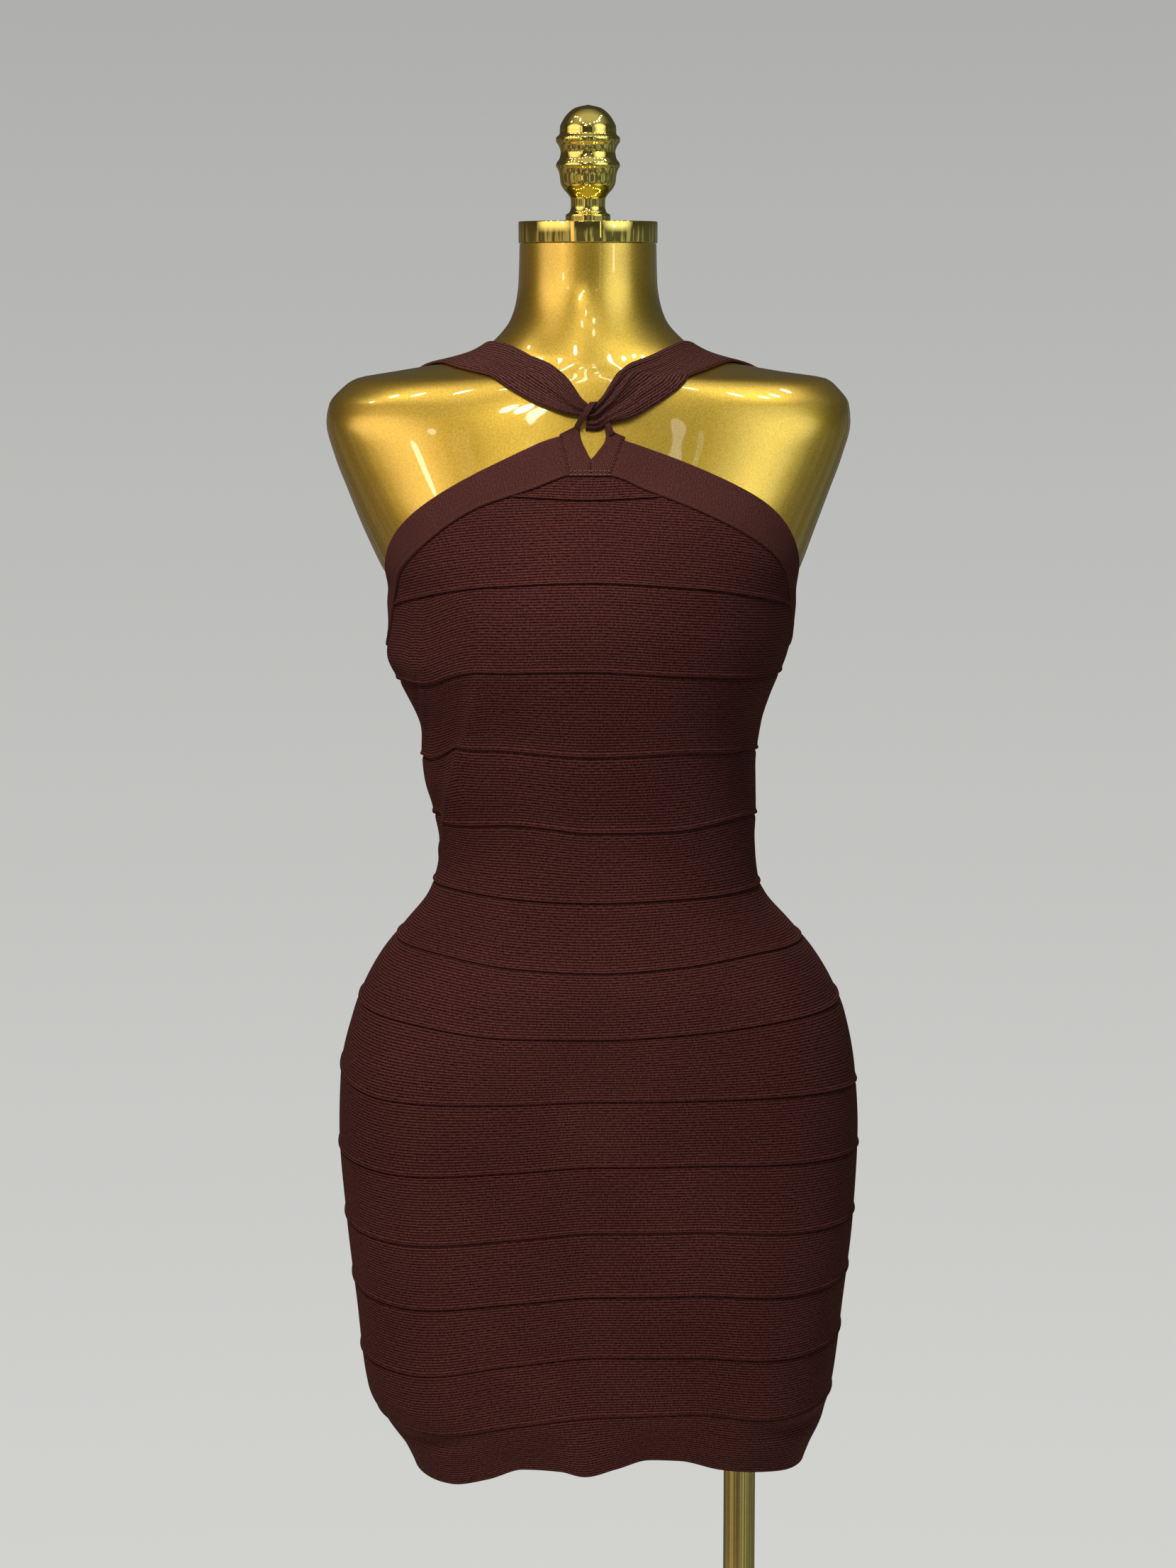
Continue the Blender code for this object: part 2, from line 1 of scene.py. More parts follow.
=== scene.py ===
"""Finished look of the bodycon dress: a maroon bandage knit worn on a gold dress form.

Lengths in the tables are millimetres and angles are degrees; every mesh is made in metres.
A turn is measured round the body from the centre front, positive towards +X. The first
half repeats the sizes of the CAD pieces, because each finished piece lies on its solid.
"""
import math

import bmesh
import bpy
import numpy as np
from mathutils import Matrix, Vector
from mathutils.bvhtree import BVHTree


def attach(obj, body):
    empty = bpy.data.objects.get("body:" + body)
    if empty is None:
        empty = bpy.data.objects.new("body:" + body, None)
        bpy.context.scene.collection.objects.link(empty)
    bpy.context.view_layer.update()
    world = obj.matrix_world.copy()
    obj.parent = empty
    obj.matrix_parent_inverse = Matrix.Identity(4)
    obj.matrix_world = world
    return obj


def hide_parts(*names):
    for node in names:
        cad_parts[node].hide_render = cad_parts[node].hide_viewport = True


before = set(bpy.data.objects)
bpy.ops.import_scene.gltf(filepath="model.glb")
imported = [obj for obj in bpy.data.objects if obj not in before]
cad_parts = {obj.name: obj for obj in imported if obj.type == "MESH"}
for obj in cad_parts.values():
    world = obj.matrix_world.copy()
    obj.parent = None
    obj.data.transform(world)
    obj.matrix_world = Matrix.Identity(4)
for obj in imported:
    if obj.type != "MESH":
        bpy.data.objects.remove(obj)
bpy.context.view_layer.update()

MM = 0.001

# ---- cloth -----------------------------------------------------------------------------
WALL = 1.2
BAND_WALL = 1.8
STRAP_WALL = 1.6
LOOP_WIDTH = 4.0
LOOP_WALL = 1.2
LOOP_CORDS = 3
CORD_RISE = 0.42       # how far the loop's cords stand up from the tape
LOOP_LEAN = (-32, 30)  # how the tape leans at its left and at its right end
SEAM = 0.3             # gap between the parts of the form and its stand
HAIRLINE = 0.02        # what shows between two pieces that are sewn edge to edge
SIDE_TURN = 90 - 0.01  # where a front and a back piece end at a side seam
COLUMN_TURN = 1.25     # turn between two columns of the finished cloth
BAND_COLUMNS = 84
BACK_BAND_COLUMNS = 146
STRAP_ROWS = 150
STRAP_COLUMNS = 36
LOOP_ROWS = 90
LOOP_COLUMNS = 25
ROW_SPACING = 2.6      # height between two rows in the middle of a strip
LEAST_EASE = 0.75      # the cloth never comes closer to the form than this

# ---- dress form and stand --------------------------------------------------------------
FORM_TOP = 1489.0
FORM_BOTTOM = 705.0
NECK_PLATE_RADIUS = 46.3
NECK_PLATE_TOP = 1503.5
BASE_RADIUS = 200.0
BASE_THICKNESS = 8.0
POLE_RADIUS = 11.0
POLE_X = 106.0
COLLAR_RADIUS = 21.0
COLLAR_HEIGHT = 22.0
COLLAR_ROUNDING = 5.0
SOCKET_RADIUS = 19.0
SOCKET_HEIGHT = 12.0
SOCKET_ROUNDING = 3.0
FORM_RIM_HEIGHT = 11.0
FORM_RIM_INSET = 14.0
SHOULDER_HEIGHTS = (1376, 1440)   # between these the form has closer rings

# The figure's level sections: height, reach to the left, right, front and back, squareness.
FIGURE = [
    (1489, 45.5, 45.5, 45.5, 45.5, 2.0),
    (1462, 46.5, 46.3, 48, 50, 2.0),
    (1450, 48.2, 48.2, 51, 54, 2.0),
    (1439, 51.8, 52, 55, 60, 2.0),
    (1428, 60, 61, 60, 67, 1.9),
    (1417, 75, 77, 66, 75, 1.75),
    (1410, 98, 99, 70, 80, 1.65),
    (1405, 127, 127, 72, 83, 1.65),
    (1400, 154.5, 159, 74, 85, 1.85),
    (1394, 164, 167, 76, 87, 2.05),
    (1383, 173.2, 174.6, 79, 90, 2.3),
    (1371, 175.2, 175.7, 82, 93, 2.45),
    (1349, 169.7, 170.2, 88, 96, 2.5),
    (1326, 160.9, 161.8, 95.5, 98, 2.5),
    (1303, 151.7, 153.2, 104, 98, 2.45),
    (1280, 141.2, 144.8, 112, 97, 2.4),
    (1260, 132, 137.2, 117, 95, 2.35),
    (1235, 130.5, 134.5, 119, 92, 2.3),
    (1216, 130, 129.5, 117, 88, 2.3),
    (1196, 122, 122.5, 113.3, 84, 2.25),
    (1170, 110.5, 113.5, 107, 78, 2.2),
    (1140, 103, 109.5, 99, 72, 2.2),
    (1110, 98.5, 109, 92, 69, 2.2),
    (1080, 97.5, 110.5, 88, 69, 2.2),
    (1060, 102, 113.5, 89, 73, 2.2),
    (1050, 106.5, 118.5, 91, 77, 2.2),
    (1030, 122.5, 136, 95, 86, 2.25),
    (1010, 138.5, 152.5, 100, 96, 2.3),
    (990, 150, 164.5, 104, 105, 2.4),
    (970, 158, 173, 106, 112, 2.45),
    (931, 167, 180.5, 108, 121, 2.5),
    (890, 168.5, 183, 108, 123, 2.5),
    (831, 164.5, 180.5, 107, 114, 2.5),
    (770, 157.8, 174, 105, 102, 2.5),
    (709, 150.5, 166.5, 101, 95, 2.5),
    (689, 141.5, 161.5, 97, 91, 2.4),
    (668, 125, 151, 91, 84, 2.3),
    (639, 112, 140.5, 84, 76, 2.2),
    (620, 105.5, 135.5, 80, 72, 2.2),
]
# Stand-off of the cloth's inner face: height, left, right, front, back.
EASE = [
    (1370, 1.3, 1.3, 1.3, 1.3),
    (1320, 2.2, 2.6, 2.4, 1.8),
    (1290, 2.4, 3.0, 2.6, 1.8),
    (1240, 2.3, 2.3, 2.3, 1.8),
    (1216, 4.5, 3.5, 2.3, 2.0),
    (1190, 3.0, 2.2, 2.0, 2.5),
    (1170, 2.5, 2.0, 2.0, 3.5),
    (1150, 6.0, 2.5, 3.0, 4.5),
    (1128, 8.0, 3.5, 2.5, 4.5),
    (1109, 5.5, 4.0, 1.7, 3.5),
    (1089, 2.5, 2.5, 1.5, 2.8),
    (1000, 1.6, 1.6, 1.5, 2.8),
    (940, 1.3, 1.3, 1.3, 1.5),
    (600, 1.3, 1.3, 1.3, 1.3),
]
# Heights of the seams at these turns, and at the centre back last.
SEAM_TURNS = (-90, -60, -30, 0, 30, 60, 90)
SEAMS = [
    (1326, 1326, 1326, 1324, 1326, 1326, 1326, 1326),
    (1240, 1257, 1269, 1272, 1268, 1257, 1243, 1240),
    (1198, 1203, 1213, 1215, 1211, 1206, 1204, 1196),
    (1146, 1154, 1161, 1158, 1159, 1155, 1150, 1146),
    (1107, 1106, 1110, 1106, 1106, 1110, 1106, 1104),
    (1061, 1062, 1060, 1059, 1060, 1060, 1059, 1060),
    (1024, 1022, 1016, 1014, 1017, 1022, 1022, 1020),
    (982, 977, 971, 971, 974, 979, 982, 976),
    (936, 924, 927, 930, 930, 928, 922, 926),
    (880, 874, 881, 886, 886, 882, 878, 878),
    (831, 826, 835, 841, 841, 834, 832, 832),
    (788, 781, 791, 797, 797, 790, 793, 788),
    (736, 734, 748, 755, 754, 746, 751, 744),
    (693, 691, 705, 713, 714, 703, 707, 702),
]
STRIPS = len(SEAMS) + 1
# The free hem: turn, height, and how far the edge swings out (+) or in (-).
HEM = [
    (-180, 660, -1.5),
    (-160, 658, 2.0),
    (-136, 662, -2.0),
    (-113, 656, 2.0),
    (-90, 652, 0.5),
    (-74, 651, 1.5),
    (-59, 653, 3.0),
    (-46, 661, 0.5),
    (-34, 670, -2.5),
    (-19, 671, -0.5),
    (-9, 669, 2.4),
    (4, 674, 0.5),
    (18, 679, -2.4),
    (29, 678, -1.5),
    (42, 670, 1.0),
    (55, 664, 2.6),
    (74, 657, 2.0),
    (90, 656, 0.0),
    (112, 661, -2.0),
    (134, 655, 2.2),
    (158, 663, -1.5),
    (180, 660, -1.5),
]
# Where the folds pull a seam out of its line: seam, turn, rise, half width in degrees.
SEAM_PULLS = [
    (2, -36, 0.9, 8),
    (2, -53, -3.2, 9),
    (3, -49, 3.2, 7),
    (3, -68, -3.5, 8),
    (3, 66, 1.5, 9),
    (4, -74, 4.0, 6),
]
# The neckline band at the left and at the right of the centre: turn, lower and upper edge at
# the left, lower and upper edge at the right.
NECKLINE = [
    (0, 1339.5, 1366.5, 1339.5, 1364.3),
    (8, 1339.5, 1366.5, 1339.5, 1364.3),
    (13, 1336.8, 1364.6, 1337.2, 1363.0),
    (20, 1331.5, 1361, 1331, 1359.5),
    (30, 1325, 1352, 1323.5, 1353),
    (40, 1316.5, 1341, 1313, 1344),
    (50, 1295, 1325, 1299, 1331),
    (60, 1277, 1302, 1281, 1311.5),
    (70, 1257, 1273, 1258, 1274),
    (80, 1226, 1254, 1230, 1253),
    (90, 1219, 1247, 1218, 1246),
    (180, 1219, 1246, 1219, 1246),
]
# Shifts in turn and weights that average the band's edges, so that their corners are rounded.
BAND_SWEEP = ((-7, 0.15), (-3.5, 0.22), (0, 0.26), (3.5, 0.22), (7, 0.15))
# Outer edge of the tab's left (-1) and right (1) half, from the bottom up: x, height.
TAB_OUTLINE = {
    -1: ((-12.0, 1339.7), (-18.7, 1366.0), (-8.6, 1371)),
    1: ((15.0, 1339.7), (24.3, 1364.3), (17.6, 1367.2), (13.9, 1371)),
}
# The slit and the teardrop opening above it: height, x of the left and of the right edge.
KEYHOLE = [
    (1339.7, 1.85, 1.95),
    (1350.6, 1.75, 2.05),
    (1351.3, 1.2, 3.0),
    (1352.8, 0.4, 4.4),
    (1355.6, -1.0, 6.6),
    (1359, -2.8, 9.3),
    (1361.6, -3.9, 10.9),
    (1365.3, -5.0, 11.5),
    (1368, -5.3, 11.1),
    (1371, -5.2, 10.2),
]
# Middle line of the loop, from its left end to its right end: x, height, stand-off.
LOOP_ROUTE = [
    (-7.2, 1370.2, 2.4),
    (-6.1, 1372.6, 4.2),
    (-3.6, 1376.6, 7.6),
    (-1.0, 1380.4, 9.4),
    (1.2, 1383.8, 9.6),
    (2.9, 1386.2, 8.2),
    (4.4, 1386.4, 4.6),
    (6.6, 1383.0, 1.6),
    (9.4, 1378.2, 1.6),
    (11.9, 1374.2, 3.4),
    (13.6, 1370.4, 3.4),
    (15.3, 1366.0, 2.4),
]
# Guides of the straps, from the loop over the shoulder and down to the back band: x, y and
# height of the outer edge, the same of the edge near the neck, then the stand-off.
LEFT_STRAP = [
    (4.6, -79, 1374.5, 3.6, -77, 1380.5, 3.4),
    (-1.4, -79, 1376.0, 1.2, -77, 1382.8, 4.4),
    (-13, -78, 1377.6, -4, -76, 1387.2, 5.2),
    (-24, -77, 1381.2, -10.5, -73, 1396.5, 4.6),
    (-38, -74, 1386.5, -22, -68, 1408, 3.0),
    (-52, -69, 1394, -37, -60, 1417, 1.4),
    (-68, -58, 1402.5, -50, -40, 1421.5, 1.2),
    (-86, -38, 1406, -60, -20, 1423, 1.0),
    (-97, -10, 1409, -69, 8, 1422, 0.9),
]
RIGHT_STRAP = [
    (-1.5, -80, 1367.5, 0.4, -77, 1380.5, 5.4),
    (5.5, -80, 1367.0, 3.0, -77, 1382.0, 5.8),
    (15.5, -80, 1372.0, 9.5, -75, 1388.8, 5.6),
    (27, -79, 1374.6, 16, -72, 1398.8, 4.8),
    (40, -75, 1381, 27, -68, 1410.8, 3.0),
    (53, -69, 1388.5, 41, -58, 1417, 1.4),
    (66, -60, 1397, 54, -38, 1421.5, 1.2),
    (82, -40, 1405, 62, -20, 1424, 1.0),
    (95, -10, 1409.5, 71, 8, 1421.5, 0.9),
]
BACK_STRAP = [
    (-112, 30, 1403, -84, 42, 1413, 1.5),
    (-123, 60, 1385, -91, 70, 1392, 1.8),
    (-124, 76, 1350, -91, 88, 1352, 1.2),
    (-122, 80, 1300, -90, 92, 1300, 1.4),
    (-119, 78, 1247.5, -88, 90, 1247.5, 2.0),
]
# Profile of the finial: height, radius.
FINIAL = [
    (1503.8, 14.9),
    (1507.6, 14.9),
    (1509.6, 12.4),
    (1513, 11.4),
    (1518, 11.5),
    (1521.5, 13.4),
    (1525, 16.4),
    (1529, 18.3),
    (1534, 18.9),
    (1538, 20.2),
    (1540, 21.3),
    (1541.6, 21.0),
    (1545, 18.9),
    (1549, 18.2),
    (1553, 19.4),
    (1556.4, 21.3),
    (1558, 21.3),
    (1561, 18.9),
    (1565, 18.7),
    (1570, 16.6),
    (1574.5, 13.2),
    (1578, 8.3),
    (1580, 0),
]

# ---- profiles of the finished cloth ------------------------------------------------------
# A strip's lower edge is a small raised lip that laps the strip below it, whose upper edge
# is tucked in behind. Each row is a distance from the edge, then how far the outer and the
# inner face stand proud of the plain wall there.
LAP = 1.3
LAP_GAP = 0.65          # room left under a lip for the edge that is tucked in
LIP = [(0, -0.45, 0.65), (0.3, 0.40, 0.65), (0.65, 0.95, 0.65), (1.1, 1.08, 0.62),
       (1.75, 0.85, 0.50), (2.6, 0.38, 0.25), (3.2, 0.15, 0.10), (5, 0, 0), (8, 0, 0)]
TUCK = [(0, -0.85, -0.65), (LAP, -0.85, -0.65), (2.3, -0.78, -0.60), (3.2, -0.35, -0.3),
        (4.6, -0.06, 0), (6, 0, 0)]
HEM_LIP = [(0, -0.35, 0.25), (0.5, 0.05, 0.1), (1.2, 0.22, 0), (2.5, 0.12, 0), (5, 0, 0)]
BAND_LIP = [(0, -0.7, 0.65), (0.4, 0.0, 0.65), (0.9, 0.38, 0.65), (1.6, 0.42, 0.6),
            (2.6, 0.12, 0.4), (4, 0, 0.1), (6, 0, 0)]
BAND_TOP = [(0, -0.75, 0.2), (0.4, -0.25, 0.1), (1.1, 0, 0), (3, 0, 0)]
EDGE_ROWS_BELOW = (0, 0.18, 0.35, 0.58, 0.8, 1.1, 1.4, 1.75, 2.1, 2.6, 3.2, 4.0, 5, 6.5, 8)
EDGE_ROWS_ABOVE = (6, 5, 4.2, 3.5, 3.0, 2.5, 2.0, 1.65, LAP, 0.7, 0)

# Main creases of the worn cloth: kind, width, depth, then the points of its line as
# (turn, height). A "lap" stands up along its line, with a short face away from +turn and a
# long gentle one towards it. A "fold" stands up on the side of its line towards +turn and
# sinks on the other side, or the other way round when its depth is negative. A "ridge" and
# a "trough" are the same on both sides.
CREASES = [
    ("lap", 12.0, 5.6, [(-30, 1215), (-35, 1196), (-41, 1174), (-47, 1154), (-52, 1136),
                        (-60, 1115), (-69, 1095), (-82, 1080)]),
    ("trough", 8.5, 3.4, [(-40, 1204), (-52, 1178), (-60, 1152), (-68, 1124), (-76, 1104)]),
    ("ridge", 6.0, 1.6, [(-58, 1208), (-70, 1180), (-78, 1152), (-84, 1126)]),
    ("fold", 2.5, 1.4, [(-55, 1212), (-57, 1202), (-64, 1186), (-72, 1170)]),
    ("ridge", 5.0, 0.9, [(70, 1196), (74, 1176), (80, 1150)]),
    ("ridge", 4.0, 0.8, [(78, 1190), (84, 1166), (88, 1145)]),
    ("trough", 9.0, 1.6, [(58, 1142), (64, 1120), (70, 1102)]),
    ("trough", 16.0, 0.9, [(28, 1190), (34, 1160), (40, 1130)]),
    ("trough", 7.0, 3.2, [(-84, 690), (-70, 684), (-56, 684), (-44, 692)]),
    ("ridge", 5.0, 1.4, [(-66, 668), (-56, 677), (-46, 684)]),
    ("trough", 9.0, 1.4, [(-32, 676), (-24, 684), (-16, 692)]),
    ("trough", 12.0, 1.2, [(10, 688), (20, 692), (32, 690)]),
    ("trough", 8.0, 3.0, [(50, 693), (64, 692), (82, 694)]),
    ("trough", 9.0, 2.2, [(146, 1134), (163, 1124), (180, 1121), (202, 1126), (216, 1134)]),
    ("ridge", 7.0, 1.4, [(150, 1150), (174, 1140), (196, 1144)]),
    ("trough", 8.0, 1.8, [(152, 1168), (180, 1160), (211, 1170)]),
    ("fold", 6.0, 1.3, [(104, 1206), (112, 1170), (118, 1138)]),
    ("fold", 6.0, -1.4, [(256, 1202), (248, 1166), (240, 1136)]),
    ("trough", 8.0, 2.4, [(100, 692), (118, 688), (134, 690)]),
    ("trough", 9.0, 1.8, [(170, 690), (184, 686), (198, 691)]),
    ("trough", 8.0, 2.4, [(228, 688), (244, 686), (260, 690)]),
]
LAP_FACE = 5.5          # width of a lap's short face
HEM_FULLNESS = 1.5      # the swing in the table of the hem is taken this many times
# Where the waist fold needs closer columns: strips counted from 0, then turns.
FOLDED_STRIPS = (2, 3, 4, 5, 6)
FOLD_TURNS = (-86, -24)
FOLD_COLUMN_TURN = 0.6
CREASE_RADIUS = 112.0   # turns are unrolled on this radius when a crease is measured

# Fine lines that run along the neckline band: first and last turn, distance above the lower
# edge, width, rise.
BAND_LINES = [
    (-88, -22, 7.0, 1.0, 0.40),
    (24, 88, 6.8, 0.6, 0.30),
    (26, 86, 5.4, 0.6, 0.30),
    (26, 86, 4.0, 0.6, 0.30),
    (40, 88, 9.5, 0.8, 0.25),
    (44, 72, 19.5, 0.6, 0.20),
    (46, 70, 17.9, 0.6, 0.20),
    (48, 68, 16.3, 0.6, 0.20),
    (95, 265, 7.0, 1.0, 0.35),
]
# Folds that run along a strap: where it lies across the strap at the loop, near it, midway
# and on the shoulder (0 is the outer edge), half width in that measure, rise in mm.
STRAP_REACH = (0.0, 0.08, 0.18, 0.3, 0.45)
STRAP_FOLDS = {
    "strap_left": [
        ((0.35, 0.42, 0.52, 0.50, 0.30), 0.07, 1.5),
        ((0.15, 0.22, 0.30, 0.28, 0.15), 0.10, -0.8),
        ((0.70, 0.76, 0.80, 0.80, 0.78), 0.12, 0.5),
    ],
    "strap_right": [
        ((0.0, 0.0, -0.35, -0.6, -0.6), 0.26, -4.6),
        ((0.62, 0.58, 0.60, 0.72, 0.68), 0.055, 2.2),
        ((0.48, 0.42, 0.42, 0.46, 0.44), 0.060, -1.5),
        ((0.30, 0.26, 0.28, 0.32, 0.34), 0.050, 1.1),
        ((0.12, 0.10, 0.12, 0.16, 0.18), 0.050, 1.0),
        ((0.86, 0.86, 0.88, 0.90, 0.88), 0.060, 1.4),
        ((0.74, 0.72, 0.75, 0.82, 0.80), 0.040, -1.2),
    ],
}
STRAP_FOLD_END = 0.5     # share of the strap's length at which its folds have died out


# ---- curves and sections ---------------------------------------------------------------
def curve_through(knots, values):
    """A smooth curve through the knots that never overshoots them, for arrays."""
    order = np.argsort(knots)
    knots = np.asarray(knots, float)[order]
    values = np.asarray(values, float)[order]
    step = np.diff(knots)
    rise = np.diff(values) / step
    slope = np.concatenate(([rise[0]], np.zeros(len(knots) - 2), [rise[-1]]))
    for i in range(1, len(knots) - 1):
        if rise[i - 1] * rise[i] > 0:
            before = 2 * step[i] + step[i - 1]
            after = step[i] + 2 * step[i - 1]
            slope[i] = (before + after) / (before / rise[i - 1] + after / rise[i])

    def at(where):
        where = np.clip(np.asarray(where, float), knots[0], knots[-1])
        i = np.clip(np.searchsorted(knots, where) - 1, 0, len(step) - 1)
        t = (where - knots[i]) / step[i]
        ends = (1 + 2 * t) * (1 - t) ** 2 * values[i] + t * t * (3 - 2 * t) * values[i + 1]
        bends = t * (1 - t) ** 2 * slope[i] + t * t * (t - 1) * slope[i + 1]
        return ends + step[i] * bends

    return at


def table_curves(rows):
    """One curve for each column after the first, over the first column."""
    columns = list(zip(*rows))
    return [curve_through(columns[0], column) for column in columns[1:]]


FIGURE_CURVES = table_curves(FIGURE)
EASE_CURVES = table_curves(EASE)
NECKLINE_CURVES = table_curves(NECKLINE)
HEM_HEIGHT, HEM_SWING = table_curves(HEM)
SEAM_CURVES = [curve_through(SEAM_TURNS, row[:-1]) for row in SEAMS]


def signed(turn):
    """The same turn between -180 and 180 degrees."""
    return (np.asarray(turn, float) + 180) % 360 - 180


def smooth_step(value, low, high):
    """0 below low, 1 above high, and an even ramp between them."""
    t = np.clip((value - low) / (high - low), 0, 1)
    return t * t * (3 - 2 * t)


def bell(value, half_width):
    """1 in the middle, falling away on both sides."""
    return np.exp(-(value / half_width) ** 2)


def section(height, off=None):
    """Middle, half width, front depth, back depth and squareness of level sections."""
    left, right, front, back, square = (curve(height) for curve in FIGURE_CURVES)
    if off is not None:
        gaps = [curve(height) for curve in EASE_CURVES]
        left, right, front, back = (
            a + b + off for a, b in zip((left, right, front, back), gaps))
    return (right - left) / 2, (right + left) / 2, front, back, square


def round_points(turn, height, off=None):
    """Points of the sections at these turns and heights, in metres."""
    middle, half, front, back, square = section(height, off)
    across = np.sin(np.radians(turn))
    ahead = np.cos(np.radians(turn))
    depth = np.where(ahead >= 0, front, back)
    reach = ((np.abs(across) / half) ** square
             + (np.abs(ahead) / depth) ** square) ** (-1 / square)
    return np.stack(np.broadcast_arrays(
        middle + reach * across, -reach * ahead, height), -1) * MM


def front_points(x, height, off):
    """Points of the sections' front at a given x, in metres."""
    middle, half, front, _, square = section(height, off)
    inward = np.minimum(np.abs(x - middle) / half, 1)
    return np.stack(np.broadcast_arrays(
        x, -front * (1 - inward ** square) ** (1 / square), height), -1) * MM


def turn_at(x, height, off):
    """Turn of a face of the cloth at x."""
    point = front_points(x, height, off) / MM
    return np.degrees(np.arctan2(point[..., 0] - section(height, off)[0], -point[..., 1]))


def seam_height(index, turn):
    """Height of a seam, or of the hem when the index is the last strip's."""
    turn = signed(turn)
    if index == len(SEAMS):
        return HEM_HEIGHT(turn)
    row = SEAMS[index]
    side = np.where(turn < 0, row[0], row[-2])
    behind = np.sin(np.radians(np.maximum(np.abs(turn) - 90, 0))) ** 2
    height = np.where(np.abs(turn) <= 90, SEAM_CURVES[index](turn),
                      side + (row[-1] - side) * behind)
    for seam, centre, rise, spread in SEAM_PULLS:
        if seam == index:
            height = height + rise * bell(turn - centre, spread)
    return height


def neckline_height(turn, upper):
    """Height of the neckline band's lower or upper edge."""
    turn = signed(turn)
    left, right = NECKLINE_CURVES[int(upper)], NECKLINE_CURVES[2 + int(upper)]
    height = 0
    for shift, weight in BAND_SWEEP:
        near = turn + shift * smooth_step(np.abs(turn), 14, 26)
        height = height + weight * np.where(turn < 0, left(np.abs(near)), right(np.abs(near)))
    return height


def tab_edge(side, height):
    """x of the tab's outer edge, on the left (-1) or the right (1)."""
    places, heights = zip(*TAB_OUTLINE[side])
    return np.interp(height, heights, places)


def crease_relief(turn, height):
    """How far the creases raise or sink the cloth, in millimetres."""
    turn = np.asarray(turn, float)
    total = np.zeros(np.broadcast(turn, height).shape)
    for kind, width, depth, line in CREASES:
        points = np.array(line, float)
        points[:, 0] = np.radians(points[:, 0]) * CREASE_RADIUS
        whole = np.full(total.shape, 1e9)
        side = np.zeros(total.shape)
        along = np.zeros(total.shape)
        lengths = np.linalg.norm(np.diff(points, axis=0), axis=1)
        run = np.concatenate(([0], np.cumsum(lengths)))
        shift = 360 if line[0][0] > 95 else 0
        x = np.radians(np.where(turn < 0, turn + shift, turn)) * CREASE_RADIUS
        for k, (a, b) in enumerate(zip(points, points[1:])):
            way = (b - a) / lengths[k]
            dx, dz = x - a[0], height - a[1]
            t = np.clip(dx * way[0] + dz * way[1], 0, lengths[k])
            gap = np.hypot(dx - t * way[0], dz - t * way[1])
            nearer = gap < whole
            cross = dx * way[1] - dz * way[0]
            side = np.where(nearer, np.sign(-cross) * gap, side)
            along = np.where(nearer, (run[k] + t) / run[-1], along)
            whole = np.where(nearer, gap, whole)
        fade = np.sin(np.pi * np.clip(along * 0.9 + 0.05, 0, 1)) ** 0.7
        if kind == "lap":
            shape = np.where(side > 0, np.exp(-np.maximum(side, 0) / width),
                             bell(np.minimum(side, 0), LAP_FACE))
        elif kind == "fold":
            shape = side / width * np.exp(0.5 - 0.5 * (side / width) ** 2)
        else:
            shape = bell(side, width) * (1 if kind == "ridge" else -1)
        total += depth * fade * shape
    return total


def hem_relief(turn, height):
    """Swing of the free hem, which dies out at the seam above it."""
    drop = 1 - smooth_step(height, seam_height(STRIPS - 1, turn),
                           seam_height(STRIPS - 2, turn) - 4)
    return HEM_FULLNESS * HEM_SWING(signed(turn)) * drop


def edge_profile(below, above, from_below, from_above):
    """How far the outer and the inner face stand proud near a piece's two edges."""
    (low_out, low_in), (high_out, high_in) = table_curves(below), table_curves(above)
    return (low_out(from_below) + high_out(from_above),
            low_in(from_below) + high_in(from_above))


# ---- meshes ----------------------------------------------------------------------------
def new_object(name, mesh, material):
    """Link a mesh as an object of the finished model."""
    mesh.materials.append(material)
    thing = bpy.data.objects.new(name, mesh)
    bpy.context.scene.collection.objects.link(thing)
    return thing


def face_outwards(mesh):
    """Turn every face of a closed mesh outwards."""
    data = bmesh.new()
    data.from_mesh(mesh)
    bmesh.ops.recalc_face_normals(data, faces=data.faces)
    data.to_mesh(mesh)
    data.free()


def add_shell(name, outer, inner, knit_place, material):
    """Closed cloth between two grids of points; knit_place is each point's (u, v) in metres."""
    rows, columns = outer.shape[:2]
    index = np.arange(rows * columns).reshape(rows, columns)
    quads = np.stack([index[:-1, :-1], index[:-1, 1:], index[1:, 1:], index[1:, :-1]],
                     -1).reshape(-1, 4)
    rim = np.concatenate([index[0, :], index[1:, -1], index[-1, -2::-1], index[-2:0:-1, 0]])
    after = np.roll(rim, -1)
    count = rows * columns
    walls = np.stack([rim, rim + count, after + count, after], -1)
    faces = np.concatenate([quads, quads[:, ::-1] + count, walls])
    mesh = bpy.data.meshes.new(name)
    points = np.concatenate([outer.reshape(-1, 3), inner.reshape(-1, 3)])
    mesh.from_pydata(points.tolist(), [], faces.tolist())
    places = np.tile(knit_place.reshape(-1, 2), (2, 1))
    layer = mesh.uv_layers.new(name="knit")
    corner = np.empty(len(mesh.loops), dtype=np.int64)
    mesh.loops.foreach_get("vertex_index", corner)
    layer.data.foreach_set("uv", places[corner].ravel())
    smooth = np.ones(len(faces), dtype=bool)
    smooth[2 * len(quads):] = False
    mesh.polygons.foreach_set("use_smooth", smooth)
    face_outwards(mesh)
    return new_object(name, mesh, material)


